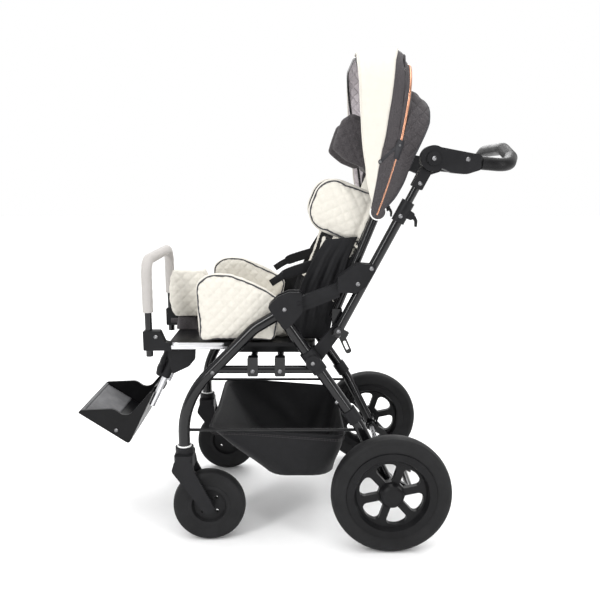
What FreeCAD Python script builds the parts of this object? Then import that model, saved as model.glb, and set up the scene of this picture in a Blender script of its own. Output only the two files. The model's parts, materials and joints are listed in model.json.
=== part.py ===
"""Special needs stroller: folding chassis, reclining seat back, canopy, legrest and push handle.

Millimetres. +Z is up, -X is the way the stroller drives, -Y is its left side.
The origin is on the floor, under the middle of the whole object.
"""
import FreeCAD
import Part
import math
import os

V = FreeCAD.Vector
LEFT = -1
RIGHT = 1
SIDES = {"left": LEFT, "right": RIGHT}

# Clearances
RUN = 0.05
SEAT = 0.1
SOFT = 0.3
GAP = 1.0

# Wheels and axles
REAR_WHEEL_D = 300.0
REAR_TYRE_W = 48.0
REAR_RIM_D = 222.0
REAR_RIM_W = 40.0
REAR_HUB_D = 56.0
REAR_WEB_W = 14.0
REAR_SPOKES = 6
REAR_WINDOW_IN = 34.0
REAR_WINDOW_OUT = 84.0
REAR_WINDOW_CORNER = 78.0
REAR_WINDOW_R = (3.0, 12.0, 38.0, 12.0, 3.0)
REAR_SPOKE_W = 19.0
REAR_WHEEL_Y = 270.5
REAR_HUB_IN = 36.0
REAR_HUB_OUT = 26.5
HUB_CAP_T = 4.0
REAR_AXLE_X = 255.0
REAR_AXLE_D = 14.0
FRONT_WHEEL_D = 186.0
FRONT_TYRE_W = 40.0
FRONT_RIM_D = 110.0
FRONT_RIM_W = 30.0
FRONT_HUB_D = 30.0
FRONT_HUB_W = 44.0
FRONT_WEB_W = 12.0
FRONT_HOLE_D = 10.0
FRONT_HOLE_PCD = 52.0
FRONT_HOLES = 4
FRONT_AXLE_D = 10.0

# Casters
CASTER_X = -263.0
CASTER_TRAIL = 60.0
STEM_D = 12.0
STEM_L = 40.0
CROWN_D = 46.0
CROWN_T = 22.0
FORK_ARM_T = 8.0
FORK_ARM_W = 36.0
FORK_GAP = 3.0
WHEEL_TOP_GAP = 10.0

# Side frame tubes and housings
FRAME_Y = 212.0
LEG_D = 29.0
LEG_FOOT_Z = 250.0
FRONT_BEND_Z = 372.0
FRONT_BEND_R = 220.0
FRONT_KNEE = (-84.0, 554.0)
FRONT_KNEE_R = 90.0
FOLD_X = 14.0
FOLD_Z = 610.0
FOLD_PIN_D = 12.0
FRONT_SOCKET = (-25.0, -12.0)
REAR_SOCKET = (-22.0, -35.5)
REAR_KNEE = (178.0, 305.0)
REAR_KNEE_R = 150.0
AXLE_BOSS_D = 36.0
AXLE_BOSS_W = 40.0
HOUSING_W = 42.0
SLOT_W = 21.0
LINK_W = 18.0
LINK_EYE_R = 19.0
SLOT_R = 24.0
COLLAR_D = 38.0
COLLAR_L = 62.0
COLLAR_AT = 124.5
SLEEVE_D = 37.0
SLEEVE_L = 36.0
BRACE_Z = 451.0
BRACE_D = 20.0
BASKET_RAIL_D = 8.0
BASKET_RAIL_Z = 293.0
CROSS_D = 18.0
CROSS_FRONT_X = -87.0
CROSS_REAR_X = -20.0
LUG_L = 26.0

# Push tubes, measured from the lower pivot along the tube
PIVOT_X = 123.0
PIVOT_Z = 550.7
PUSH_LEAN = 27.6
PUSH_D = 24.0
PUSH_BORE_FROM = 150.0
PUSH_TOP = 345.0
PUSH_TAIL = 16.0
PIVOT_PIN_D = 12.0
PIVOT_PIN_INNER_Y = 146.0
CRADLE_Y = (191.0, 199.0)
CRADLE_R = 14.0
LUG_Y = (176.0, 189.0)
LATCH_Y = (150.0, 158.0)
LATCH_END = (152.0, 486.0)
LATCH_ROD_D = 8.0
UPPER_HOUSING = [(120, 648), (163, 645), (188, 662), (209, 697), (212, 714), (165, 717), (120, 683)]
CLAMP_D = 32.0
CLAMP_L = 54.0
CLAMP_OVER = 7.0
CLAMP_EAR = 20.0
LEVER_PIN_D = 8.0
INNER_D = 19.0
INNER_FROM = 190.0
BRACKET_FROM = 388.0
BRACKET_L = 60.0
BRACKET_W = 27.0
HANDLE_AT = 464.0
HANDLE_EYE_D = 48.0
HANDLE_EYE_Y = (196.0, 208.0)
HANDLE_PIN_D = 16.0
HANDLE_COVER_D = 60.0
HANDLE_COVER_Y = (208.5, 236.0)
HANDLE_KNOB_D = 32.0
HANDLE_KNOB_T = 4.0
HANDLE_D = 22.0
GRIP_D = 31.0
HANDLE_Y = 222.0
HANDLE_REACH = 556.5
HANDLE_ARM_Z = 946.0
HANDLE_BAR_Z = 990.0
HANDLE_BAR_Y = 105.0
GRIP_FROM_X = 452.0

# Seat
RAIL_Y = (140.0, 160.0)
RAIL_Z = (488.0, 504.0)
RAIL_FRONT_X = -298.0
RAIL_REAR_X = -150.0
BOARD_T = 10.0
BOARD_FRONT_X = -297.5
BOARD_REAR_X = 68.0
BOARD_Y = 190.0
CUSHION_FRONT_X = -222.0
CUSHION_REAR_X = 58.0
CUSHION_Y = 150.0
CUSHION_T = 52.0
GUARD_Y = (152.0, 190.5)
GUARD_FRONT_X = -231.0
GUARD_REAR_X = -4.0
GUARD_TOP_Z = 679.0
GUARD_REAR_Z = 620.0
GUARD_FLAT = 96.0
POMMEL_X = -277.0
POMMEL_STEM_X = -279.0
POMMEL_FOOT = (62.0, 84.0)
POMMEL_NECK = (48.0, 70.0)
POMMEL_L = 100.0
POMMEL_W = 96.0
POMMEL_TOP_Z = 677.0
POMMEL_BASE_H = 31.0
POMMEL_STEM_D = 16.0
KNOB_D = 12.0

# Bumper bar
BUMPER_X = -356.0
BUMPER_Y = 148.5
BUMPER_D = 18.0
BUMPER_FOAM_D = 27.0
BUMPER_FOOT_Z = 468.0
BUMPER_FOAM_Z = 583.0
BUMPER_TOP_Z = 714.0
BUMPER_BEND_R = 38.0
BRACKET_Y = (137.0, 161.0)
BRACKET_FRONT_X = -369.0
BRACKET_TOP_Z = 536.0
BRACKET_FOOT_Z = 485.0
HINGE_PLATE_Y = (129.0, 138.0)

# Legrest, measured from its pivot down the tubes (s) and forward of them (m)
LEGREST_X = -290.0
LEGREST_Z = 474.0
LEGREST_LEAN = 26.2
LEGREST_Y = 112.0
LEGREST_D = 22.0
LEGREST_L = 80.0
LEGREST_PIN_D = 10.0
CALF_T = 18.0
CALF_L = 96.0
CALF_Y = 122.0
FOOT_TUBE_D = 16.0
FOOT_TUBE_FROM = 14.0
FOOT_TUBE_TO = 168.0
FOOT_HINGE_S = 118.0
FOOT_HINGE_D = 10.0
FOOT_Y = 127.0
FOOT_WALL = 7.0
FOOT_HEEL_S = 289.0
FOOT_TIP_S = 268.0
FOOT_TIP_M = 167.7
FOOT_HEEL_M = 10.0
FOOT_HEEL_TOP_S = 132.0
FOOT_EYE_Y = (60.0, 90.0)

# Backrest, measured from a point on its tube up the back (u) and forward of it (n)
BACK_X = 166.8
BACK_Z = 712.0
BACK_LEAN = 21.8
BACK_Y = 174.0
BACK_D = 22.0
BACK_FROM_U = -148.0
BACK_TOP_U = 335.0
BACK_BEND_R = 60.0
BACK_PAD_N = (-8.0, 32.0)
BACK_PAD_U = (-128.0, 28.0, 318.0)
BACK_PAD_Y = (151.0, 84.0)
WING_Y = 128.0
WING_N = 100.0
HEAD_U = (215.0, 335.0)
HEAD_PAD_T = 36.0
HEAD_WING_N = (58.0, 165.0)
HEAD_WING_Y = (101.0, 135.0)
HEAD_PIN_Y = 112.0
HEAD_PIN_N = 46.0
TRUNK_U = (36.0, 176.0)
TRUNK_N = (-4.0, 160.0)
TRUNK_Y = (103.0, 147.0)
TRUNK_PIN_Y = 155.0
TRUNK_PIN_N = 8.0
SIDE_PIN_D = 8.0
BARREL_D = 14.0

# Canopy, measured from its pivot: angle back from the vertical and distance out
CANOPY_U = 135.0
CANOPY_PIN_D = 8.0
CANOPY_Y = 188.2
CANOPY_WALL = 3.0
CANOPY_CORNER_R = 95.0
CANOPY_EYE_D = 24.0
CANOPY_FROM = 16.0
BOW_D = 6.0
VISOR = ((-10.0, 382.0), (7.0, 391.0))
FRONT_BOW = (-8.5, 371.0)
MIDDLE_PANEL = ((8.2, 387.0), (13.0, 364.0))
MIDDLE_BOW = (11.5, 354.0)
REAR_PANEL = ((14.5, 300.0), (30.0, 286.0))

# Basket
BASKET_TOP_X = (-203.0, 146.0)
BASKET_FOOT_X = (-62.0, 112.0)
BASKET_FOOT_Z = 150.0
BASKET_FOOT_Y = 158.0
BASKET_WALL = 3.0
BASKET_CORNER_R = 26.0

# Brake
BRAKE_BAR = (63.0, -36.0)
BRAKE_BAR_D = 18.0
BRAKE_ARM_Y = (176.0, 188.0)
BRAKE_TREAD = (120.0, 44.0, 6.0)


def polar(angle):
    """Unit vector in the side view, an angle in degrees up from +X."""
    return V(math.cos(math.radians(angle)), 0, math.sin(math.radians(angle)))


def span(side, near, far):
    """The low and high Y of a band that starts near the middle and ends far from it."""
    return sorted((side * near, side * far))


def rounded(points, radius, closed=True):
    """A wire through points, its corners turned by tangent arcs."""
    count = len(points)
    radii = radius if isinstance(radius, list) else [radius] * count
    turns = []
    for i, corner in enumerate(points):
        at_end = not closed and i in (0, count - 1)
        if at_end or radii[i] <= 0:
            turns.append((corner, None, corner))
            continue
        back = (points[i - 1] - corner).normalize()
        ahead = (points[(i + 1) % count] - corner).normalize()
        half = back.getAngle(ahead) / 2
        inward = (back + ahead).normalize()
        reach = radii[i] / math.tan(half)
        middle = corner + inward * (radii[i] / math.sin(half) - radii[i])
        turns.append((corner + back * reach, middle, corner + ahead * reach))
    edges = []
    for i, (start, middle, end) in enumerate(turns):
        if middle is not None:
            edges.append(Part.Arc(start, middle, end).toShape())
        if closed or i < count - 1:
            following = turns[(i + 1) % count][0]
            if (following - end).Length > 1e-6:
                edges.append(Part.LineSegment(end, following).toShape())
    return Part.Wire(edges)


def plate(outline, radius, band):
    """A plate with a side-view outline of (x, z) corners, filling a band of Y."""
    low, high = band
    wire = rounded([V(x, low, z) for x, z in outline], radius)
    return Part.Face(wire).extrude(V(0, high - low, 0))


def block(low, high):
    """A box between two corners."""
    return Part.makeBox(high[0] - low[0], high[1] - low[1], high[2] - low[2], V(*low))


def rod(start, end, diameter):
    """A straight round bar."""
    along = end - start
    return Part.makeCylinder(diameter / 2, along.Length, start, along)


def pin(x, z, diameter, band):
    """A round bar across the stroller, filling a band of Y."""
    return rod(V(x, band[0], z), V(x, band[1], z), diameter)


def tube(points, diameter, bends):
    """A bent round bar along a path of straight runs and tangent arcs."""
    path = rounded(points, bends, closed=False)
    section = Part.Wire(Part.Circle(points[0], points[1] - points[0], diameter / 2).toShape())
    return path.makePipeShell([section], True, False)


def fuse(first, *others):
    """One solid from pieces that meet."""
    return first.fuse(list(others)).removeSplitter()


def section_points(outline, scale, place):
    """An outline drawn in about its own middle, put into space."""
    middle_a = (min(a for a, b in outline) + max(a for a, b in outline)) / 2
    middle_b = (min(b for a, b in outline) + max(b for a, b in outline)) / 2
    shrink_a = 1 - 2 * scale / (max(a for a, b in outline) - min(a for a, b in outline))
    shrink_b = 1 - 2 * scale / (max(b for a, b in outline) - min(b for a, b in outline))
    return [
        place(middle_a + (a - middle_a) * shrink_a, middle_b + (b - middle_b) * shrink_b)
        for a, b in outline
    ]


def crown_steps(back, front):
    """Depth and draw-in of each section of a crowned cushion, from its back to its front face."""
    shoulder = 0.35
    return (0.0, back), (0.16, shoulder * back), (0.5, 0.0), (0.84, shoulder * front), (1.0, front)


def pad(outline, radius, thickness, place, back=8.0, front=10.0):
    """A crowned cushion: the outline is full at mid depth and drawn in at both faces."""
    sections = []
    for depth, inset in crown_steps(back, front):
        points = section_points(outline, inset, lambda a, b: place(a, b, depth * thickness))
        sections.append(rounded(points, radius))
    return Part.makeLoft(sections, True, False)


def push_point(along, y, out=0.0):
    """A point along the push tube's line, and out behind it."""
    lean = math.radians(PUSH_LEAN)
    x = PIVOT_X + along * math.sin(lean) + out * math.cos(lean)
    return V(x, y, PIVOT_Z + along * math.cos(lean) - out * math.sin(lean))


def back_point(u, n, y):
    """A point up the back and forward of it."""
    lean = math.radians(BACK_LEAN)
    x = BACK_X + u * math.sin(lean) - n * math.cos(lean)
    return V(x, y, BACK_Z + u * math.cos(lean) + n * math.sin(lean))


def leg_point(s, m, y):
    """A point down the legrest and forward of it."""
    lean = math.radians(LEGREST_LEAN)
    x = LEGREST_X - s * math.sin(lean) - m * math.cos(lean)
    return V(x, y, LEGREST_Z - s * math.cos(lean) + m * math.sin(lean))


def canopy_point(angle, out, y):
    """A point out from the canopy's pivot."""
    turn = math.radians(angle)
    pivot = back_point(CANOPY_U, 0, y)
    return pivot + V(out * math.sin(turn), 0, out * math.cos(turn))


def flat(points):
    """Side-view (x, z) pairs of points in space."""
    return [(p.x, p.z) for p in points]


FOLD = V(FOLD_X, 0, FOLD_Z)
REAR_AXLE_Z = REAR_WHEEL_D / 2
FRONT_AXLE_X = CASTER_X + CASTER_TRAIL
FRONT_AXLE_Z = FRONT_WHEEL_D / 2
FRAME_IN = FRAME_Y - HOUSING_W / 2
FRAME_OUT = FRAME_Y + HOUSING_W / 2
BOARD_Z = RAIL_Z[1]
SEAT_Z = BOARD_Z + BOARD_T
CROSS_Z = RAIL_Z[0] - 7.0 - CROSS_D / 2
SKIRT_Z = CROSS_Z + CROSS_D / 2 + SEAT
INNER_TO = HANDLE_AT - HANDLE_COVER_D / 2 - 4


def front_leg_path(y):
    top = FOLD + V(FRONT_SOCKET[0], y, FRONT_SOCKET[1])
    return [
        V(CASTER_X, y, LEG_FOOT_Z),
        V(CASTER_X, y, FRONT_BEND_Z),
        V(FRONT_KNEE[0], y, FRONT_KNEE[1]),
        top,
    ]


def front_leg_tube(side, diameter):
    return tube(front_leg_path(side * FRAME_Y), diameter, [0, FRONT_BEND_R, FRONT_KNEE_R, 0])


def front_leg(side):
    foot = V(CASTER_X, side * FRAME_Y, LEG_FOOT_Z)
    socket = rod(foot, foot + V(0, 0, STEM_L + GAP), STEM_D + 2 * RUN)
    return front_leg_tube(side, LEG_D).cut(socket)


def rear_leg_top(y):
    return FOLD + V(REAR_SOCKET[0], y, REAR_SOCKET[1])


def rear_leg_down(y):
    """The direction of the rear leg's upper run."""
    return (V(REAR_KNEE[0], y, REAR_KNEE[1]) - rear_leg_top(y)).normalize()


def rear_leg_tube(side, diameter):
    y = side * FRAME_Y
    knee = V(REAR_KNEE[0], y, REAR_KNEE[1])
    axle = V(REAR_AXLE_X, y, REAR_AXLE_Z)
    return tube([rear_leg_top(y), knee, axle], diameter, [0, REAR_KNEE_R, 0])


def rear_leg(side):
    band = span(side, FRAME_Y - AXLE_BOSS_W / 2, FRAME_Y + AXLE_BOSS_W / 2)
    boss = pin(REAR_AXLE_X, REAR_AXLE_Z, AXLE_BOSS_D, band)
    bore = pin(REAR_AXLE_X, REAR_AXLE_Z, REAR_AXLE_D + 2 * SEAT, band)
    return fuse(rear_leg_tube(side, LEG_D), boss).cut(bore)


def junction_housing(side):
    """Clevis that grips both legs and carries the fold pin across its slot."""
    outline = [(-63, 2), (-38, 27), (-12, 38), (20, 38), (22, -10), (2, -36), (-22, -57)]
    corners = [(FOLD_X + x, FOLD_Z + z) for x, z in outline]
    body = plate(corners, [8, 16, 14, 8, 8, 10, 9], span(side, FRAME_IN, FRAME_OUT))
    slot_band = span(side, FRAME_Y - SLOT_W / 2, FRAME_Y + SLOT_W / 2)
    fan = [FOLD + polar(a) * 3 * HOUSING_W for a in (-48, 0, 60, 120, 168)]
    slot = plate([(FOLD_X, FOLD_Z)] + flat(fan), 0, slot_band)
    slot = fuse(slot, pin(FOLD_X, FOLD_Z, 2 * SLOT_R, slot_band))
    ribs = [
        block(
            (FOLD_X + 9, *span(side, FRAME_OUT - GAP, FRAME_OUT + 2)[:1], FOLD_Z + z),
            (FOLD_X + 19, *span(side, FRAME_OUT - GAP, FRAME_OUT + 2)[1:], FOLD_Z + z + 4),
        )
        for z in (2, 11)
    ]
    body = fuse(body, *ribs).cut(slot)
    body = body.cut(front_leg_tube(side, LEG_D + 2 * SEAT))
    body = body.cut(rear_leg_tube(side, LEG_D + 2 * SEAT))
    return fuse(body, pin(FOLD_X, FOLD_Z, FOLD_PIN_D, span(side, FRAME_IN, FRAME_OUT)))


def side_link(side):
    """Twin bars from the fold pin to the upper housing, with a groove between them."""
    band = span(side, FRAME_Y - LINK_W / 2, FRAME_Y + LINK_W / 2)
    lower_band = span(side, FRAME_Y - LINK_W / 2, FRAME_Y + LINK_W / 2 - 3)
    upper = [(4, 20), (14, -2), (112, 33), (112, 61)]
    lower = [(2, -15), (10, -16), (112, 24), (112, 33), (14, -2)]
    upper_bar = plate([(FOLD_X + x, FOLD_Z + z) for x, z in upper], 0, band)
    lower_bar = plate([(FOLD_X + x, FOLD_Z + z) for x, z in lower], 0, lower_band)
    eye = pin(FOLD_X, FOLD_Z, 2 * LINK_EYE_R, band)
    bore = pin(FOLD_X, FOLD_Z, FOLD_PIN_D + 2 * RUN, band)
    return fuse(eye, upper_bar, lower_bar).cut(bore)


def pivot_rise():
    """The way the lower pivot pin leaves its cradle as the frame folds."""
    reach = V(PIVOT_X, 0, PIVOT_Z) - FOLD
    return V(-reach.z, 0, reach.x).normalize()


def rear_collar(side):
    """Collar on the rear leg with an arm up to the open cradle of the pivot pin."""
    y = side * FRAME_Y
    down = rear_leg_down(y)
    middle = rear_leg_top(y) + down * COLLAR_AT
    body = rod(middle - down * COLLAR_L / 2, middle + down * COLLAR_L / 2, COLLAR_D)
    boss = pin(middle.x, middle.z, COLLAR_D, span(side, CRADLE_Y[0], FRAME_OUT))
    body = fuse(body, boss).cut(rear_leg_tube(side, LEG_D + 2 * SEAT))
    pivot = V(PIVOT_X, 0, PIVOT_Z)
    middle = V(middle.x, 0, middle.z)
    across = V(-(pivot - middle).z, 0, (pivot - middle).x).normalize()
    corners = [
        middle + across * COLLAR_D / 2,
        middle - across * COLLAR_D / 2,
        pivot - across * CRADLE_R,
        pivot + across * CRADLE_R,
    ]
    band = span(side, *CRADLE_Y)
    arm = plate(flat(corners), 0, band)
    arm = fuse(arm, pin(PIVOT_X, PIVOT_Z, 2 * CRADLE_R, band))
    arm = arm.cut(rear_leg_tube(side, LEG_D + 2 * SEAT))
    half = PIVOT_PIN_D / 2 + SOFT
    rise = pivot_rise()
    beside = V(-rise.z, 0, rise.x)
    mouth = [
        pivot - beside * half,
        pivot - beside * (half + 5) + rise * 34,
        pivot + beside * (half + 5) + rise * 34,
        pivot + beside * half,
    ]
    slot = fuse(plate(flat(mouth), 0, band), pin(PIVOT_X, PIVOT_Z, 2 * half, band))
    return fuse(body, arm.cut(slot))


def rear_sleeve(side):
    """Plain sleeve on the rear leg just above its knee."""
    y = side * FRAME_Y
    down = rear_leg_down(y)
    end = V(REAR_KNEE[0], y, REAR_KNEE[1]) - down * 14
    sleeve = rod(end - down * SLEEVE_L, end, SLEEVE_D)
    return sleeve.cut(rear_leg_tube(side, LEG_D + 2 * SEAT))


def rear_axle():
    reach = REAR_WHEEL_Y + REAR_HUB_OUT - HUB_CAP_T - GAP
    return pin(REAR_AXLE_X, REAR_AXLE_Z, REAR_AXLE_D, (-reach, reach))


def side_brace(side):
    """Tube from the front leg to the rear leg collar, with two lugs for the seat's cross tubes."""
    y = side * FRAME_Y
    collar = rear_leg_top(y) + rear_leg_down(y) * COLLAR_AT
    brace = rod(V(CASTER_X, y, BRACE_Z), V(collar.x, y, BRACE_Z), BRACE_D)
    brace = brace.cut(front_leg_tube(side, LEG_D + 2 * SOFT))
    brace = max(brace.Solids, key=lambda solid: solid.BoundBox.XMax)
    brace = brace.cut(rod(collar - rear_leg_down(y) * COLLAR_L, collar + rear_leg_down(y) * COLLAR_L,
                          COLLAR_D + 2 * SOFT))
    brace = brace.cut(pin(collar.x, collar.z, COLLAR_D + 2 * SOFT, span(side, 0, FRAME_OUT)))
    brace = min(brace.Solids, key=lambda solid: solid.BoundBox.XMin)
    inner = FRAME_Y - BRACE_D / 2 - 3
    for x in (CROSS_FRONT_X, CROSS_REAR_X):
        low, high = span(side, inner, FRAME_Y + BRACE_D / 2 + 2)
        foot = BRACE_Z - BRACE_D / 2 - 5
        lug = block((x - LUG_L / 2, low, foot), (x + LUG_L / 2, high, CROSS_Z + CROSS_D / 2 + 3))
        lug = lug.makeFillet(4, [e for e in lug.Edges if abs(e.tangentAt(0).y) > 0.9])
        brace = fuse(brace, lug)
    return brace


def basket_rail(side):
    """Rod that carries the basket's hem between the legs."""
    y = side * FRAME_Y
    rail = rod(V(CASTER_X, y, BASKET_RAIL_Z), V(REAR_AXLE_X, y, BASKET_RAIL_Z), BASKET_RAIL_D)
    rail = rail.cut(front_leg_tube(side, LEG_D + 2 * SEAT)).cut(rear_leg_tube(side, LEG_D + 2 * SEAT))
    rail = rail.cut(rear_sleeve(side))
    return max(rail.Solids, key=lambda solid: solid.Volume)


def cross_tubes():
    """Two tubes across the frame, between the brace lugs, that carry the seat."""
    reach = FRAME_Y - BRACE_D / 2 - 3
    return [pin(x, CROSS_Z, CROSS_D, (-reach, reach)) for x in (CROSS_FRONT_X, CROSS_REAR_X)]


def seat_rail(side):
    low, high = span(side, *RAIL_Y)
    rail = block((RAIL_FRONT_X, low, RAIL_Z[0]), (RAIL_REAR_X, high, RAIL_Z[1]))
    return rail.makeFillet(2.5, [e for e in rail.Edges if abs(e.tangentAt(0).x) > 0.9])


def seat_board():
    """Board with two rear skirts that stand on the cross tubes."""
    board = block((BOARD_FRONT_X, -BOARD_Y, BOARD_Z), (BOARD_REAR_X, BOARD_Y, SEAT_Z))
    corners = [e for e in board.Edges if abs(e.tangentAt(0).z) > 0.9]
    board = board.makeFillet(24, corners)
    skirts = []
    for side in SIDES.values():
        low, high = span(side, *RAIL_Y)
        skirts.append(block((RAIL_REAR_X, low, SKIRT_Z), (BOARD_REAR_X, high, BOARD_Z)))
    return fuse(board, *skirts)


def seat_cushion():
    outline = [
        (CUSHION_FRONT_X, -CUSHION_Y),
        (CUSHION_REAR_X, -CUSHION_Y),
        (CUSHION_REAR_X, CUSHION_Y),
        (CUSHION_FRONT_X, CUSHION_Y),
    ]
    foot = SEAT_Z + SOFT
    return pad(outline, 34, CUSHION_T, lambda a, b, d: V(a, b, foot + d), 8.0, 14.0)


def side_guard(side):
    """Padded panel beside the seat, its top edge sloping down to the back."""
    foot = SEAT_Z + SOFT
    outline = [
        (GUARD_FRONT_X + 6, foot),
        (GUARD_FRONT_X, GUARD_TOP_Z),
        (GUARD_FRONT_X + GUARD_FLAT, GUARD_TOP_Z),
        (GUARD_REAR_X, GUARD_REAR_Z),
        (GUARD_REAR_X - 26, foot),
    ]
    radii = [9, 40, 70, 20, 9]
    sections = []
    thickness = GUARD_Y[1] - GUARD_Y[0]
    for depth, inset in crown_steps(9.0, 7.0):
        y = side * (GUARD_Y[0] + depth * thickness)
        points = [
            V(x + (inset if x < GUARD_FRONT_X + 48 else -inset), y, z - (inset if z > foot else 0))
            for x, z in outline
        ]
        sections.append(rounded(points, radii))
    return Part.makeLoft(sections, True, False)


def front_bracket(side):
    """Casting at the rail's front end: the bumper post's socket and the legrest's hinge plate."""
    outline = [
        (BRACKET_FRONT_X, BRACKET_FOOT_Z),
        (RAIL_FRONT_X, BRACKET_FOOT_Z),
        (RAIL_FRONT_X, RAIL_Z[1]),
        (RAIL_FRONT_X - 16, RAIL_Z[1] + 3),
        (BRACKET_FRONT_X + 43, BRACKET_TOP_Z),
        (BRACKET_FRONT_X, BRACKET_TOP_Z),
    ]
    socket = plate(outline, [3, 0, 0, 6, 5, 3], span(side, *BRACKET_Y))
    hinge = [
        (RAIL_FRONT_X - 14, RAIL_Z[1] - 2),
        (RAIL_FRONT_X - 14, LEGREST_Z - 12),
        (LEGREST_X - 12, LEGREST_Z - 58),
        (LEGREST_X + 32, LEGREST_Z - 37),
        (LEGREST_X + 48, LEGREST_Z - 18),
        (LEGREST_X + 51, RAIL_Z[1] - 2),
    ]
    hinge_plate = plate(hinge, [3, 4, 5, 14, 10, 3], span(side, *HINGE_PLATE_Y))
    hinge_pin = pin(LEGREST_X, LEGREST_Z, LEGREST_PIN_D,
                    span(side, LEGREST_Y - LEGREST_D / 2 - 2, HINGE_PLATE_Y[1]))
    foot = V(BUMPER_X, side * BUMPER_Y, BRACKET_FOOT_Z)
    bore = rod(foot, V(foot.x, foot.y, BRACKET_TOP_Z), BUMPER_D + 2 * RUN)
    return fuse(socket, hinge_plate, hinge_pin).cut(bore)


def bumper_path(foot_z):
    return [
        V(BUMPER_X, -BUMPER_Y, foot_z),
        V(BUMPER_X, -BUMPER_Y, BUMPER_TOP_Z),
        V(BUMPER_X, BUMPER_Y, BUMPER_TOP_Z),
        V(BUMPER_X, BUMPER_Y, foot_z),
    ]


def bumper_bar():
    return tube(bumper_path(BUMPER_FOOT_Z), BUMPER_D, BUMPER_BEND_R)


def bumper_foam():
    sleeve = tube(bumper_path(BUMPER_FOAM_Z), BUMPER_FOAM_D, BUMPER_BEND_R)
    return sleeve.cut(tube(bumper_path(BUMPER_FOOT_Z), BUMPER_D + 2 * SEAT, BUMPER_BEND_R))


def rectangle(x, length, width, z, corner):
    points = [
        V(x - length / 2, -width / 2, z),
        V(x + length / 2, -width / 2, z),
        V(x + length / 2, width / 2, z),
        V(x - length / 2, width / 2, z),
    ]
    return rounded(points, corner)


def pommel_base():
    """Waisted foot on the board, with the knob that clamps the pommel's stem."""
    top = SEAT_Z + POMMEL_BASE_H
    foot = rectangle(POMMEL_STEM_X + 3, *POMMEL_FOOT, SEAT_Z, 12)
    neck = rectangle(POMMEL_STEM_X, *POMMEL_NECK, top, 12)
    body = Part.makeLoft([foot, neck], True, True)
    knob_z = SEAT_Z + POMMEL_BASE_H / 2
    knob = rod(V(POMMEL_STEM_X, 0, knob_z), V(POMMEL_X - POMMEL_L / 2, 0, knob_z), KNOB_D)
    stem = V(POMMEL_STEM_X, 0, SEAT_Z)
    bore = rod(stem, stem + V(0, 0, POMMEL_BASE_H), POMMEL_STEM_D + 2 * RUN)
    return fuse(body, knob).cut(bore)


def pommel():
    """Padded knee block on a round stem."""
    foot = SEAT_Z + POMMEL_BASE_H + SOFT
    height = POMMEL_TOP_Z - foot
    sections = []
    for rise, inset in crown_steps(13.0, 12.0):
        sections.append(
            rectangle(POMMEL_X, POMMEL_L - 2 * inset, POMMEL_W - 2 * inset,
                      foot + rise * height, 16)
        )
    block_pad = Part.makeLoft(sections, True, False)
    stem = V(POMMEL_STEM_X, 0, SEAT_Z + 2)
    return fuse(block_pad, rod(stem, V(stem.x, 0, foot + 20), POMMEL_STEM_D))


def basket():
    """Open bag that hangs between the side rails."""
    top_y = FRAME_Y - BASKET_RAIL_D / 2 - SOFT
    top_z = BASKET_RAIL_Z
    shells = []
    for wall, lift in ((0.0, 0.0), (BASKET_WALL, GAP)):
        foot_low, foot_high = BASKET_FOOT_X
        top_low, top_high = BASKET_TOP_X
        foot = rectangle((foot_low + foot_high) / 2, foot_high - foot_low - 2 * wall,
                         2 * (BASKET_FOOT_Y - wall), BASKET_FOOT_Z + wall, BASKET_CORNER_R)
        top = rectangle((top_low + top_high) / 2, top_high - top_low - 2 * wall,
                        2 * (top_y - wall), top_z + lift, BASKET_CORNER_R)
        shells.append(Part.makeLoft([foot, top], True, True))
    return shells[0].cut(shells[1])


def push_tube(side):
    """Lower push tube with the pivot pin through its foot and the bore of the inner tube."""
    y = side * FRAME_Y
    body = rod(push_point(-PUSH_TAIL, y), push_point(PUSH_TOP, y), PUSH_D)
    pivot_pin = pin(PIVOT_X, PIVOT_Z, PIVOT_PIN_D, span(side, PIVOT_PIN_INNER_Y, FRAME_Y))
    head = pin(PIVOT_X, PIVOT_Z, PUSH_D - 2, span(side, FRAME_Y, FRAME_Y + PUSH_D / 2 + 5))
    tab = plate(
        flat([push_point(-8, 0, 6), push_point(-8, 0, 27), push_point(8, 0, 27), push_point(8, 0, 6)]),
        3, span(side, FRAME_Y - 4, FRAME_Y + 4))
    bore = rod(push_point(PUSH_BORE_FROM, y), push_point(PUSH_TOP, y), INNER_D + 2 * RUN)
    return fuse(body, pivot_pin, head, tab).cut(bore)


def upper_housing(side):
    """Housing that joins the link to the push tube."""
    body = plate(UPPER_HOUSING, [6, 8, 10, 8, 5, 9, 6], span(side, FRAME_Y - 16, FRAME_Y + 20))
    y = side * FRAME_Y
    body = body.cut(rod(push_point(0, y), push_point(PUSH_TOP, y), PUSH_D + 2 * SEAT))
    return body.cut(side_link(side))


def clamp_lever_axis():
    return push_point(PUSH_TOP + CLAMP_OVER - CLAMP_L / 2, 0, CLAMP_D / 2 + 6)


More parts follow.
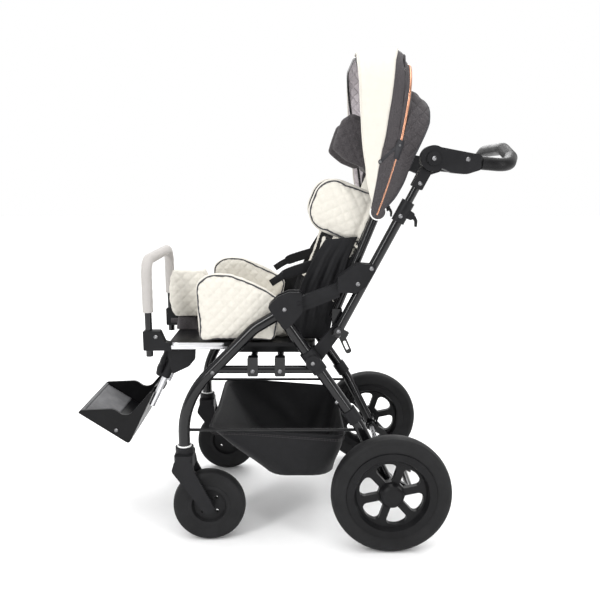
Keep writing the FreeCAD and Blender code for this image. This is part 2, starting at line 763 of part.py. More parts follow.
def height_clamp(side):
    """Split collar at the push tube's top, with two ears for the cam lever's pin."""
    y = side * FRAME_Y
    low = PUSH_TOP + CLAMP_OVER - CLAMP_L
    body = rod(push_point(low, y), push_point(PUSH_TOP + CLAMP_OVER, y), CLAMP_D)
    middle = low + CLAMP_L / 2
    ears = plate(
        flat([push_point(middle - 11, 0, 8), push_point(middle + 11, 0, 8),
              push_point(middle + 9, 0, CLAMP_D / 2 + 12), push_point(middle - 9, 0, CLAMP_D / 2 + 12)]),
        [0, 0, 7, 7], span(side, FRAME_Y - CLAMP_EAR / 2, FRAME_Y + CLAMP_EAR / 2))
    axis = clamp_lever_axis()
    gap_band = span(side, FRAME_Y - CLAMP_EAR / 2 + 4, FRAME_Y + CLAMP_EAR / 2 - 4)
    gap = plate(
        flat([push_point(middle - 30, 0, CLAMP_D / 2), push_point(middle + 30, 0, CLAMP_D / 2),
              push_point(middle + 30, 0, 60), push_point(middle - 30, 0, 60)]), 0, gap_band)
    body = fuse(body, ears.cut(gap), pin(axis.x, axis.z, LEVER_PIN_D, span(
        side, FRAME_Y - CLAMP_EAR / 2, FRAME_Y + CLAMP_EAR / 2)))
    tube_hole = rod(push_point(low, y), push_point(PUSH_TOP, y), PUSH_D + 2 * SEAT)
    inner_hole = rod(push_point(low, y), push_point(PUSH_TOP + CLAMP_OVER, y), INNER_D + 2 * RUN)
    return body.cut(tube_hole).cut(inner_hole)


def clamp_lever(side):
    """Thin curved cam lever between the clamp's ears."""
    axis = clamp_lever_axis()
    band = span(side, FRAME_Y - CLAMP_EAR / 2 + 4.5, FRAME_Y + CLAMP_EAR / 2 - 4.5)
    middle = PUSH_TOP + CLAMP_OVER - CLAMP_L / 2
    out = CLAMP_D / 2
    blade = [
        push_point(middle + 1, 0, out + 2),
        push_point(middle + 5, 0, out + 14),
        push_point(middle - 2, 0, out + 24),
        push_point(middle - 16, 0, out + 30),
        push_point(middle - 18, 0, out + 26),
        push_point(middle - 6, 0, out + 19),
        push_point(middle - 4, 0, out + 10),
    ]
    lever = plate(flat(blade), [0, 6, 10, 1, 1, 8, 3], band)
    boss = pin(axis.x, axis.z, LEVER_PIN_D + 3.5, band)
    return fuse(lever, boss).cut(pin(axis.x, axis.z, LEVER_PIN_D + 2 * RUN, band))


def fold_latch():
    """Two hanging release levers with long finger rings, joined by a rod."""
    pivot = V(PIVOT_X, 0, PIVOT_Z)
    end = V(LATCH_END[0], 0, LATCH_END[1])
    along = (end - pivot).normalize()
    beside = V(-along.z, 0, along.x)
    pieces = []
    for side in SIDES.values():
        band = span(side, *LATCH_Y)
        ring_from = end - along * 26
        outline = [
            pivot + beside * 9, pivot - beside * 9,
            end - beside * 8 + along * 9, end + beside * 8 + along * 9,
        ]
        lever = plate(flat(outline), [0, 0, 7, 7], band)
        lever = fuse(lever, pin(PIVOT_X, PIVOT_Z, 24, band))
        hole = plate(
            flat([ring_from + beside * 3.5, ring_from - beside * 3.5,
                  end - beside * 3.5, end + beside * 3.5]), 3, band)
        pieces.append(lever.cut(hole).cut(pin(PIVOT_X, PIVOT_Z, PIVOT_PIN_D + 2 * RUN, band)))
    rod_at = pivot + along * 30
    bar = pin(rod_at.x, rod_at.z, LATCH_ROD_D, (-LATCH_Y[1], LATCH_Y[1]))
    return fuse(bar, *pieces)


def inner_tube(side):
    y = side * FRAME_Y
    return rod(push_point(INNER_FROM, y), push_point(INNER_TO, y), INNER_D)


def hinge_bracket(side):
    """Bracket on the inner tube with the eye and pin that the handle turns on."""
    y = side * FRAME_Y
    half = BRACKET_W / 2
    top = BRACKET_FROM + BRACKET_L
    outline = [
        push_point(BRACKET_FROM, 0, -half), push_point(BRACKET_FROM, 0, half),
        push_point(top, 0, half), push_point(top, 0, -half),
    ]
    body = plate(flat(outline), 3, span(side, FRAME_Y - 14, FRAME_Y + 14))
    joint = push_point(HANDLE_AT, 0)
    cover = pin(joint.x, joint.z, HANDLE_COVER_D + 2 * GAP,
                span(side, HANDLE_COVER_Y[0] - SOFT, FRAME_OUT))
    body = body.cut(cover)
    neck = plate(
        flat([push_point(BRACKET_FROM + 20, 0, -half), push_point(BRACKET_FROM + 20, 0, half),
              push_point(HANDLE_AT, 0, half), push_point(HANDLE_AT, 0, -half)]),
        0, span(side, *HANDLE_EYE_Y))
    eye = pin(joint.x, joint.z, HANDLE_EYE_D, span(side, *HANDLE_EYE_Y))
    turn_pin = pin(joint.x, joint.z, HANDLE_PIN_D, span(side, HANDLE_EYE_Y[0], HANDLE_COVER_Y[1] - 4))
    body = fuse(body, neck, eye, turn_pin)
    return body.cut(rod(push_point(INNER_FROM, y), push_point(INNER_TO, y), INNER_D + 2 * SEAT))


def handle_path(first_x):
    """The handle's loop: back along each arm, then up and over to the raised crossbar."""
    joint = push_point(HANDLE_AT, 0)
    bar_x = HANDLE_REACH - GRIP_D / 2
    start_z = joint.z + (HANDLE_ARM_Z - joint.z) * (first_x - joint.x) / (bar_x - 26 - joint.x)
    half = [
        V(first_x, -HANDLE_Y, start_z),
        V(bar_x - 26, -HANDLE_Y, HANDLE_ARM_Z),
        V(bar_x, -HANDLE_BAR_Y - 50, HANDLE_BAR_Z - 24),
        V(bar_x, -HANDLE_BAR_Y + 20, HANDLE_BAR_Z),
    ]
    return half + [V(p.x, -p.y, p.z) for p in reversed(half)]


def handle_loop(first_x, diameter):
    return tube(handle_path(first_x), diameter, [0, 42, 42, 50, 50, 42, 42, 0])


def handle_tube():
    return handle_loop(push_point(HANDLE_AT, 0).x + HANDLE_PIN_D / 2 + 6, HANDLE_D)


def handle_grip():
    start = push_point(HANDLE_AT, 0).x + HANDLE_PIN_D / 2 + 6
    return handle_loop(GRIP_FROM_X, GRIP_D).cut(handle_loop(start, HANDLE_D + 2 * SEAT))


def handle_joint_cover(side):
    """Round joint cover with a tapering arm shell and the swelling under it."""
    joint = push_point(HANDLE_AT, 0)
    band = span(side, *HANDLE_COVER_Y)
    disc = pin(joint.x, joint.z, HANDLE_COVER_D, band)
    knob_band = span(side, HANDLE_COVER_Y[0], HANDLE_COVER_Y[1] + HANDLE_KNOB_T)
    knob = pin(joint.x, joint.z, HANDLE_KNOB_D, knob_band)
    end = GRIP_FROM_X - joint.x - 4
    arm = [(8, 27), (end - 22, 12), (end, 8), (end, -26), (end - 32, -36), (44, -33), (18, -22)]
    shell = plate([(joint.x + x, joint.z + z) for x, z in arm], [0, 6, 3, 6, 24, 30, 0], band)
    bore = pin(joint.x, joint.z, HANDLE_PIN_D + 2 * RUN, span(side, HANDLE_COVER_Y[0], HANDLE_COVER_Y[1] - 3))
    start = joint.x + HANDLE_PIN_D / 2 + 6
    return fuse(disc, knob, shell).cut(bore).cut(handle_loop(start, HANDLE_D + 2 * SEAT))


def backrest_frame():
    """Bent tube with pivot lugs, hinge pins for the supports and pins for the canopy."""
    path = [
        back_point(BACK_FROM_U, 0, -BACK_Y), back_point(BACK_TOP_U, 0, -BACK_Y),
        back_point(BACK_TOP_U, 0, BACK_Y), back_point(BACK_FROM_U, 0, BACK_Y),
    ]
    pieces = []
    bores = []
    for side in SIDES.values():
        band = span(side, *LUG_Y)
        foot = back_point(BACK_FROM_U + 26, 0, 0)
        lug = [
            V(PIVOT_X - 14, 0, PIVOT_Z), V(PIVOT_X + 14, 0, PIVOT_Z),
            foot + V(12, 0, 0), foot + V(-12, 0, 0),
        ]
        pieces.append(plate(flat(lug), 0, band))
        pieces.append(pin(PIVOT_X, PIVOT_Z, 30, band))
        bores.append(pin(PIVOT_X, PIVOT_Z, PIVOT_PIN_D + 2 * RUN, band))
        bore_reach = back_point(CANOPY_U, 0, side * (CANOPY_Y + BOW_D / 2))
        pieces.append(rod(back_point(CANOPY_U, 0, side * BACK_Y), bore_reach, CANOPY_PIN_D))
        for u_low, u_high, pin_y, pin_n in (
            (TRUNK_U[0] + 4, TRUNK_U[1] - 6, TRUNK_PIN_Y, TRUNK_PIN_N),
        ):
            pieces.append(rod(back_point(u_low, pin_n, side * pin_y),
                              back_point(u_high, pin_n, side * pin_y), SIDE_PIN_D))
            for u in (u_low, u_high - 12):
                pieces.append(rod(back_point(u, pin_n, side * pin_y),
                                  back_point(u + 12, pin_n, side * pin_y), BARREL_D))
                pieces.append(rod(back_point(u + 6, pin_n, side * pin_y),
                                  back_point(u + 6, 0, side * BACK_Y), BARREL_D - 3))
        middle = (HEAD_U[0] + HEAD_U[1]) / 2
        pieces.append(rod(back_point(middle - 36, HEAD_PIN_N, side * HEAD_PIN_Y),
                          back_point(middle + 36, HEAD_PIN_N, side * HEAD_PIN_Y), SIDE_PIN_D))
        pieces.append(rod(back_point(middle - 13, HEAD_PIN_N, side * HEAD_PIN_Y),
                          back_point(middle + 13, HEAD_PIN_N, side * HEAD_PIN_Y), BARREL_D))
        arm = [
            back_point(middle, 0, side * BACK_Y), back_point(middle, HEAD_PIN_N, side * BACK_Y),
            back_point(middle, HEAD_PIN_N, side * HEAD_PIN_Y),
        ]
        pieces.append(tube(arm, BARREL_D - 2, [0, 26, 0]))
    frame = fuse(tube(path, BACK_D, BACK_BEND_R), *pieces)
    for bore in bores:
        frame = frame.cut(bore)
    return frame


def back_prism(outline, u_low, u_high, corner):
    """A bar up the back whose section across the stroller is (n, y) corners."""
    wire = rounded([back_point(u_low, n, y) for n, y in outline], corner)
    return Part.Face(wire).extrude(back_point(u_high, 0, 0) - back_point(u_low, 0, 0))


def backrest_cushion():
    """Wide lumbar part with side wings, and a narrower part between the trunk supports."""
    back, front = BACK_PAD_N
    wide, narrow = BACK_PAD_Y
    low, step, high = BACK_PAD_U
    sewn = BACK_Y - BACK_D / 2 - SOFT
    half = [(back, sewn), (12, sewn), (22, wide), (WING_N, wide), (WING_N, WING_Y), (front, WING_Y - 12)]
    cup = [(n, -y) for n, y in half] + [(n, y) for n, y in reversed(half)]
    turns = [6, 4, 8, 12, 12, 30]
    lumbar = back_prism(cup, low, step, turns + turns[::-1])
    outline = [(step - 10, -narrow), (high, -narrow), (high, narrow), (step - 10, narrow)]
    upper = pad(outline, 26, front - back, lambda u, y, d: back_point(u, back + d, y), 8.0, 8.0)
    return fuse(lumbar, upper)


def headrest_pad():
    low, high = HEAD_U
    narrow = BACK_PAD_Y[1]
    outline = [(low, -narrow), (high, -narrow), (high, narrow), (low, narrow)]
    front = BACK_PAD_N[1] + SOFT
    return pad(outline, 30, HEAD_PAD_T, lambda u, y, d: back_point(u, front + d, y), 4.0, 10.0)


def head_wing(side):
    """Head-support pad on two hinge barrels."""
    low, high = HEAD_U
    near, far = HEAD_WING_N
    outline = [
        (low + 2, far - 52), (low + 18, far - 4), (high - 26, far),
        (high, far - 18), (high, near), (low, near),
    ]
    thickness = HEAD_WING_Y[1] - HEAD_WING_Y[0]
    wing = pad(outline, [12, 14, 16, 14, 14, 14], thickness,
               lambda u, n, d: back_point(u, n, side * (HEAD_WING_Y[0] + d)), 8.0, 8.0)
    middle = (low + high) / 2
    for u_low, u_high in ((middle - 32, middle - 13.5), (middle + 13.5, middle + 32)):
        start = back_point(u_low, HEAD_PIN_N, side * HEAD_PIN_Y)
        end = back_point(u_high, HEAD_PIN_N, side * HEAD_PIN_Y)
        leaf_low = back_point(u_low, HEAD_PIN_N, 0)
        leaf = back_prism(
            [(HEAD_PIN_N, side * (HEAD_PIN_Y - 3)), (near + 8, side * (HEAD_PIN_Y - 3)),
             (near + 8, side * (HEAD_PIN_Y + 3)), (HEAD_PIN_N, side * (HEAD_PIN_Y + 3))], u_low, u_high, 0)
        wing = fuse(wing, rod(start, end, BARREL_D), leaf)
        wing = wing.cut(rod(start, end, SIDE_PIN_D + 2 * RUN))
    return wing


def trunk_support(side):
    """Trunk-support pad on one long hinge barrel."""
    low, high = TRUNK_U
    near, far = TRUNK_N
    outline = [(low, near), (low, far), (high, far), (high, near)]
    thickness = TRUNK_Y[1] - TRUNK_Y[0]
    cushion = pad(outline, [24, 52, 52, 24], thickness,
                  lambda u, n, d: back_point(u, n, side * (TRUNK_Y[0] + d)), 12.0, 10.0)
    start = back_point(low + 17, TRUNK_PIN_N, side * TRUNK_PIN_Y)
    end = back_point(high - 19, TRUNK_PIN_N, side * TRUNK_PIN_Y)
    leaf = back_prism(
        [(TRUNK_PIN_N - 4, side * (TRUNK_Y[0] + thickness / 2)),
         (TRUNK_PIN_N + 6, side * (TRUNK_Y[0] + thickness / 2)),
         (TRUNK_PIN_N + 4, side * TRUNK_PIN_Y), (TRUNK_PIN_N - 4, side * TRUNK_PIN_Y)],
        low + 17, high - 19, 0)
    cushion = fuse(cushion, rod(start, end, BARREL_D), leaf)
    return cushion.cut(rod(start, end, SIDE_PIN_D + 2 * RUN))


def arch(angle, crown):
    """Closed section of a canopy panel: up one side, over the top and down the other."""
    inner_y = CANOPY_Y + BOW_D / 2 + SOFT
    y = inner_y + CANOPY_WALL
    inner_crown = crown - CANOPY_WALL
    points = [
        canopy_point(angle, CANOPY_FROM, -y), canopy_point(angle, crown, -y),
        canopy_point(angle, crown, y), canopy_point(angle, CANOPY_FROM, y),
        canopy_point(angle, CANOPY_FROM, inner_y), canopy_point(angle, inner_crown, inner_y),
        canopy_point(angle, inner_crown, -inner_y), canopy_point(angle, CANOPY_FROM, -inner_y),
    ]
    inner_r = CANOPY_CORNER_R - CANOPY_WALL
    return rounded(points, [0, CANOPY_CORNER_R, CANOPY_CORNER_R, 0, 0, inner_r, inner_r, 0])


def canopy_panel(edges):
    return Part.makeLoft([arch(*edge) for edge in edges], True, True)


def canopy_bow(setting, strap):
    """Hoop of the canopy with a flat eye on each pivot pin."""
    angle, crown = setting
    path = [
        canopy_point(angle, CANOPY_EYE_D + 2, -CANOPY_Y), canopy_point(angle, crown, -CANOPY_Y),
        canopy_point(angle, crown, CANOPY_Y), canopy_point(angle, CANOPY_EYE_D + 2, CANOPY_Y),
    ]
    bow = tube(path, BOW_D, CANOPY_CORNER_R - CANOPY_WALL)
    pivot = canopy_point(0, 0, 0)
    out = V(math.sin(math.radians(angle)), 0, math.cos(math.radians(angle)))
    beside = V(out.z, 0, -out.x) * 4
    for side in SIDES.values():
        band = span(side, *strap)
        eye = pin(pivot.x, pivot.z, CANOPY_EYE_D, band)
        reach = pivot + out * (CANOPY_EYE_D + 14)
        tongue = plate(flat([pivot - beside, pivot + beside, reach + beside, reach - beside]), 0, band)
        bow = fuse(bow, eye, tongue)
        bow = bow.cut(pin(pivot.x, pivot.z, CANOPY_PIN_D + 2 * RUN, band))
    return bow


def legrest_frame():
    """Two short outer tubes on the hinge pins, joined by a cross tube."""
    pieces = []
    holes = []
    for side in SIDES.values():
        y = side * LEGREST_Y
        pieces.append(rod(leg_point(-10, 0, y), leg_point(LEGREST_L, 0, y), LEGREST_D))
        bore_top = leg_point(FOOT_TUBE_FROM - 4, 0, y)
        holes.append(rod(bore_top, leg_point(LEGREST_L, 0, y), FOOT_TUBE_D + 2 * RUN))
        holes.append(pin(LEGREST_X, LEGREST_Z, LEGREST_PIN_D + 2 * RUN,
                         span(side, LEGREST_Y - LEGREST_D, HINGE_PLATE_Y[1])))
    cross_s = LEGREST_L - 14
    cross = rod(leg_point(cross_s, 0, -LEGREST_Y), leg_point(cross_s, 0, LEGREST_Y), FOOT_TUBE_D)
    frame = fuse(cross, *pieces)
    for hole in holes:
        frame = frame.cut(hole)
    return frame


def calf_panel():
    """Padded panel in front of the legrest tubes."""
    outline = [(-4, -CALF_Y), (CALF_L, -CALF_Y), (CALF_L, CALF_Y), (-4, CALF_Y)]
    front = LEGREST_D / 2 + SOFT
    return pad(outline, 18, CALF_T, lambda s, y, d: leg_point(s, front + d, y), 2.0, 6.0)


def footrest_tubes():
    """Two inner tubes joined by the footplate's hinge rod."""
    tubes = [
        rod(leg_point(FOOT_TUBE_FROM, 0, side * LEGREST_Y),
            leg_point(FOOT_TUBE_TO, 0, side * LEGREST_Y), FOOT_TUBE_D)
        for side in SIDES.values()
    ]
    hinge = rod(leg_point(FOOT_HINGE_S, 0, -LEGREST_Y), leg_point(FOOT_HINGE_S, 0, LEGREST_Y), FOOT_HINGE_D)
    return fuse(hinge, *tubes)


def footplate():
    """Tray with a sloped floor, humped side walls, a heel wall and two hinge eyes."""
    heel = (FOOT_HEEL_S, FOOT_HEEL_M)
    tip = (FOOT_TIP_S, FOOT_TIP_M)
    top = FOOT_HEEL_TOP_S
    side_wall = [
        heel, tip, (FOOT_TIP_S - 9, FOOT_TIP_M - 5), (FOOT_HEEL_S - 72, FOOT_HEEL_M + 76),
        (FOOT_HEEL_S - 64, FOOT_HEEL_M + 34), (top, FOOT_HEEL_M + FOOT_WALL + 1), (top, FOOT_HEEL_M),
    ]
    corners = flat([leg_point(s, m, 0) for s, m in side_wall])
    outer = plate(corners, [8, 3, 4, 26, 26, 3, 3], (-FOOT_Y, FOOT_Y))
    hollow = [
        (FOOT_HEEL_S - FOOT_WALL, FOOT_HEEL_M + FOOT_WALL), (FOOT_TIP_S - FOOT_WALL, FOOT_TIP_M + 20),
        (top - 40, FOOT_TIP_M + 20), (top - 40, FOOT_HEEL_M + FOOT_WALL),
    ]
    inner_y = FOOT_Y - FOOT_WALL
    tray = outer.cut(plate(flat([leg_point(s, m, 0) for s, m in hollow]), 0, (-inner_y, inner_y)))
    hinge = leg_point(FOOT_HINGE_S, 0, 0)
    eye = [
        (FOOT_HINGE_S, -10), (top + 16, FOOT_HEEL_M + 3),
        (top - 2, FOOT_HEEL_M + FOOT_WALL), (FOOT_HINGE_S, 9),
    ]
    for side in SIDES.values():
        band = span(side, *FOOT_EYE_Y)
        tray = fuse(tray, plate(flat([leg_point(s, m, 0) for s, m in eye]), 0, band),
                    pin(hinge.x, hinge.z, 2 * FOOT_HINGE_D, band))
        tray = tray.cut(pin(hinge.x, hinge.z, FOOT_HINGE_D + 2 * RUN, band))
    return tray


def caster_fork(side):
    """Stem, round crown and two swept arms with the wheel's axle between them."""
    y = side * FRAME_Y
    half = FRONT_TYRE_W / 2 + FORK_GAP + FORK_ARM_T
    crown_top = V(CASTER_X, y, LEG_FOOT_Z - SOFT)
    stem = rod(crown_top, crown_top + V(0, 0, STEM_L), STEM_D)
    crown = rod(crown_top - V(0, 0, CROWN_T), crown_top, CROWN_D)
    bridge_foot = FRONT_WHEEL_D + WHEEL_TOP_GAP
    bridge = block((CASTER_X - CROWN_D / 2, y - half, bridge_foot),
                   (CASTER_X + CROWN_D / 2, y + half, crown_top.z - CROWN_T + 6))
    bridge = bridge.makeFillet(9, [e for e in bridge.Edges if abs(e.tangentAt(0).z) > 0.9])
    axle = V(FRONT_AXLE_X, 0, FRONT_AXLE_Z)
    shoulder = V(CASTER_X - 2, 0, bridge_foot + 12)
    along = (axle - shoulder).normalize()
    beside = V(-along.z, 0, along.x)
    wide = FORK_ARM_W / 2
    outline = [
        V(CASTER_X - CROWN_D / 2, 0, bridge_foot + 22), V(CASTER_X - CROWN_D / 2 - 7, 0, bridge_foot - 2),
        axle - beside * (wide - 3), axle + beside * (wide - 3),
        V(CASTER_X + CROWN_D / 2 + 3, 0, bridge_foot), V(CASTER_X + CROWN_D / 2, 0, bridge_foot + 22),
    ]
    arms = []
    for low in (y - half, y + half - FORK_ARM_T):
        band = (low, low + FORK_ARM_T)
        arms.append(plate(flat(outline), [4, 14, 0, 0, 14, 4], band))
        arms.append(pin(FRONT_AXLE_X, FRONT_AXLE_Z, FORK_ARM_W - 6, band))
    axle_pin = pin(FRONT_AXLE_X, FRONT_AXLE_Z, FRONT_AXLE_D, (y - half, y + half))
    return fuse(stem, crown, bridge, axle_pin, *arms)


def revolve(x, y, z, profile):
    """A ring about an axle across the stroller, from (radius, across) corners."""
    points = [V(x + radius, y + across, z) for radius, across in profile]
    face = Part.Face(rounded(points, 0))
    return face.revolve(V(x, y, z), V(0, 1, 0), 360)


def tyre(x, y, radius, width, rim_r):
    """Round-shouldered tyre on its rim."""
    half = width / 2
    crown = radius - 0.07 * half

    def at(out, across):
        return V(x + out, y + across * half, radius)

    foot = rim_r + RUN
    edges = [Part.LineSegment(at(foot, -0.72), at(radius - 0.62 * half, -1)).toShape()]
    flank, shoulder = radius - 0.62 * half, radius - 0.25 * half
    edges.append(Part.Arc(at(flank, -1), at(shoulder, -0.87), at(crown, -0.5)).toShape())
    edges.append(Part.Arc(at(crown, -0.5), at(radius, 0), at(crown, 0.5)).toShape())
    edges.append(Part.Arc(at(crown, 0.5), at(shoulder, 0.87), at(flank, 1)).toShape())
    edges.append(Part.LineSegment(at(radius - 0.62 * half, 1), at(foot, 0.72)).toShape())
    edges.append(Part.LineSegment(at(foot, 0.72), at(foot, -0.72)).toShape())
    return Part.Face(Part.Wire(edges)).revolve(V(x, y, radius), V(0, 1, 0), 360)


def front_wheel(side):
    """Moulded rim with four through holes, and its tyre."""
    y = side * FRAME_Y
    rim_r = FRONT_RIM_D / 2
    hub_r = FRONT_HUB_D / 2
    bore = FRONT_AXLE_D / 2 + RUN
    web = FRONT_WEB_W / 2
    half_rim = FRONT_RIM_W / 2
    half_hub = FRONT_HUB_W / 2
    ring = [
        (bore, -half_hub), (hub_r, -half_hub), (hub_r, -web), (rim_r - 14, -web), (rim_r - 10, -half_rim),
        (rim_r, -half_rim), (rim_r, half_rim), (rim_r - 10, half_rim), (rim_r - 14, web), (hub_r, web),
        (hub_r, half_hub), (bore, half_hub),
    ]
    rim = revolve(FRONT_AXLE_X, y, FRONT_AXLE_Z, ring)
    for i in range(FRONT_HOLES):
        at = V(FRONT_AXLE_X, 0, FRONT_AXLE_Z) + polar(48 + 360 / FRONT_HOLES * i) * FRONT_HOLE_PCD / 2
        rim = rim.cut(pin(at.x, at.z, FRONT_HOLE_D, (y - half_rim, y + half_rim)))
    return [rim, tyre(FRONT_AXLE_X, y, FRONT_AXLE_Z, FRONT_TYRE_W, rim_r)]


def rear_rim(side):
    """Six-spoked moulded rim with a capped hub."""
    y = side * REAR_WHEEL_Y
    rim_r = REAR_RIM_D / 2
    hub_r = REAR_HUB_D / 2
    bore = REAR_AXLE_D / 2 + RUN
    web = REAR_WEB_W / 2
    half = REAR_RIM_W / 2
    out = side * REAR_HUB_OUT
    ring = [
        (0, out), (hub_r - 5, out), (hub_r, out - side * 5), (hub_r + 3, side * web),
        (rim_r - 25, side * web),
        (rim_r - 18, side * half), (rim_r, side * half), (rim_r, -side * half), (rim_r - 18, -side * half),
        (rim_r - 25, -side * web), (hub_r - 8, -side * web), (hub_r - 8, -side * REAR_HUB_IN),
        (bore, -side * REAR_HUB_IN), (bore, out - side * HUB_CAP_T), (0, out - side * HUB_CAP_T),
    ]
    rim = revolve(REAR_AXLE_X, y, REAR_AXLE_Z, ring)
    axle = V(REAR_AXLE_X, 0, REAR_AXLE_Z)
    turn = 360 / REAR_SPOKES
    for i in range(REAR_SPOKES):
        window = []
        corners = (
            (REAR_WINDOW_IN, -1), (REAR_WINDOW_CORNER, -1), (REAR_WINDOW_OUT, 0),
            (REAR_WINDOW_CORNER, 1), (REAR_WINDOW_IN, 1),
        )
        for radius, end in corners:
            open_half = turn / 2 - math.degrees(math.asin(REAR_SPOKE_W / 2 / radius))
            window.append(axle + polar(turn * (i + 0.7) + end * open_half) * radius)
        rim = rim.cut(plate(flat(window), list(REAR_WINDOW_R), (y - half, y + half)))
    return rim


def rear_tyre(side):
    return tyre(REAR_AXLE_X, side * REAR_WHEEL_Y, REAR_AXLE_Z, REAR_TYRE_W, REAR_RIM_D / 2)


def brake_pedal():
    """Foot bar behind the axle, on two arms that turn about it, with a tread plate."""
    bar = V(REAR_AXLE_X + BRAKE_BAR[0], 0, REAR_AXLE_Z + BRAKE_BAR[1])
    axle = V(REAR_AXLE_X, 0, REAR_AXLE_Z)
    along = (bar - axle).normalize()
    beside = V(-along.z, 0, along.x)
    reach = BRAKE_ARM_Y[1]
    width, depth, thick = BRAKE_TREAD
    pieces = []
    bores = []
    for side in SIDES.values():
        band = span(side, *BRAKE_ARM_Y)
        arm = [axle + beside * 11, axle - beside * 11, bar - beside * 8, bar + beside * 8]
        pieces.append(plate(flat(arm), 0, band))
        pieces.append(pin(axle.x, axle.z, REAR_AXLE_D + 14, band))
        bores.append(pin(axle.x, axle.z, REAR_AXLE_D + 2 * RUN, band))
    tread = [
        bar + along * depth / 2 + beside * BRAKE_BAR_D / 2,
        bar - along * depth / 2 + beside * BRAKE_BAR_D / 2,
        bar - along * depth / 2 + beside * (BRAKE_BAR_D / 2 - thick),
        bar + along * depth / 2 + beside * (BRAKE_BAR_D / 2 - thick),
    ]
    pieces.append(plate(flat(tread), 2, (-width / 2, width / 2)))
    pedal = fuse(pin(bar.x, bar.z, BRAKE_BAR_D, (-reach, reach)), *pieces)
    for bore in bores:
        pedal = pedal.cut(bore)
    return pedal


def pair(maker):
    """The left and right copies of a piece, in one group."""
    return [maker(side) for side in SIDES.values()]


def write(name, shape):
    """One STEP file per sub-part; a list is a group of separate solids."""
    if isinstance(shape, list):
        shape = Part.makeCompound([solid for piece in shape for solid in piece.Solids])
    shape.exportStep("parts/" + name + ".step")


PAIRED = {
    "front_leg": front_leg,
    "junction_housing": junction_housing,
    "rear_leg": rear_leg,
    "side_guard": side_guard,
    "upper_housing": upper_housing,
    "push_tube": push_tube,
    "clamp_lever": clamp_lever,
    "head_wing": head_wing,
    "trunk_support": trunk_support,
    "caster_fork": caster_fork,
    "front_wheel": front_wheel,
    "rear_rim": rear_rim,
    "rear_tyre": rear_tyre,
}


def main():
    os.makedirs("parts", exist_ok=True)
    for name, maker in PAIRED.items():
        for side_name, side in SIDES.items():
            write(name + "_" + side_name, maker(side))
    write("rear_collars", pair(rear_collar) + pair(rear_sleeve))
    write("rear_axle", rear_axle())
    write("cross_tubes", cross_tubes())
    write("side_braces", pair(side_brace) + pair(basket_rail))
    write("seat_rails", pair(seat_rail))
    write("seat_board", seat_board())
    write("seat_cushion", seat_cushion())
    write("front_brackets", pair(front_bracket))
    write("pommel_base", pommel_base())
    write("pommel", pommel())
    write("bumper_bar", bumper_bar())
    write("bumper_foam", bumper_foam())
    write("basket", basket())
    write("side_links", pair(side_link))
    write("height_clamps", pair(height_clamp))
    write("fold_latch", fold_latch())
    write("inner_tubes", pair(inner_tube))
    write("hinge_brackets", pair(hinge_bracket))
    write("handle_tube", handle_tube())
    write("handle_grip", handle_grip())
    write("handle_joint_covers", pair(handle_joint_cover))
    write("backrest_frame", backrest_frame())
    write("backrest_cushion", backrest_cushion())
    write("headrest_pad", headrest_pad())
    write("canopy_front_bow", canopy_bow(FRONT_BOW, (CANOPY_Y + SOFT, CANOPY_Y + BOW_D / 2)))
    write("canopy_visor", canopy_panel(VISOR))
    write("canopy_middle_bow", canopy_bow(MIDDLE_BOW, (CANOPY_Y - BOW_D / 2, CANOPY_Y - SOFT)))
    write("canopy_middle_panel", canopy_panel(MIDDLE_PANEL))
    write("canopy_rear_panel", canopy_panel(REAR_PANEL))
    write("legrest_frame", legrest_frame())
    write("calf_panel", calf_panel())
    write("footrest_tubes", footrest_tubes())
    write("footplate", footplate())
    write("brake_pedal", brake_pedal())


main()
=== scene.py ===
"""Dresses the special needs stroller: padded fabric, canopy, basket, straps, trim, finishes and stage."""
import json
import math

import bmesh
import bpy
import numpy as np
from bpy.props import FloatProperty, FloatVectorProperty, PointerProperty
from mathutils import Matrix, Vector
from mathutils.bvhtree import BVHTree


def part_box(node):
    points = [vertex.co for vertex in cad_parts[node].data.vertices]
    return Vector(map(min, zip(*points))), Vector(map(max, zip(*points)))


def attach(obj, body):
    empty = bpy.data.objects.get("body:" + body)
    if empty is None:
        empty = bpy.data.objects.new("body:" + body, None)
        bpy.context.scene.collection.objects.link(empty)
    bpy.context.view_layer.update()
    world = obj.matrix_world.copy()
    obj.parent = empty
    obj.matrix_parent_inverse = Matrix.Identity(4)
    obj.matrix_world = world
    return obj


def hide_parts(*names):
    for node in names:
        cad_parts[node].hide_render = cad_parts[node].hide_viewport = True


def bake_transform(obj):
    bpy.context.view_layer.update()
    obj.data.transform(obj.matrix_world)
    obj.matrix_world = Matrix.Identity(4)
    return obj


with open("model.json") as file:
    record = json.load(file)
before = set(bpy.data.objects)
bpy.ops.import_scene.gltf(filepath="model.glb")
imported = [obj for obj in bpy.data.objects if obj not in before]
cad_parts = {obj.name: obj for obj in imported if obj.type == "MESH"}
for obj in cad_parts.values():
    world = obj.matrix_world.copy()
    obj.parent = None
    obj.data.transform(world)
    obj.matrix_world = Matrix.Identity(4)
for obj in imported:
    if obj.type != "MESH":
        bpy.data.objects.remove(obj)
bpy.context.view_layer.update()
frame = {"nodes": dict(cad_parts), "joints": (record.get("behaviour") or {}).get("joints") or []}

bl_info = {
    "name": "Special Needs Stroller",
    "version": (1, 0, 0),
    "blender": (4, 5, 0),
    "location": "3D View > Sidebar > Stroller",
    "description": "Soft goods, trim and finishes for a folding special needs stroller",
    "category": "Object",
}

MM = 0.001
SIDES = (("left", -1), ("right", 1))
JOINTS = {joint["name"]: joint for joint in frame["joints"]}
MATERIALS = {}
TREES = {}

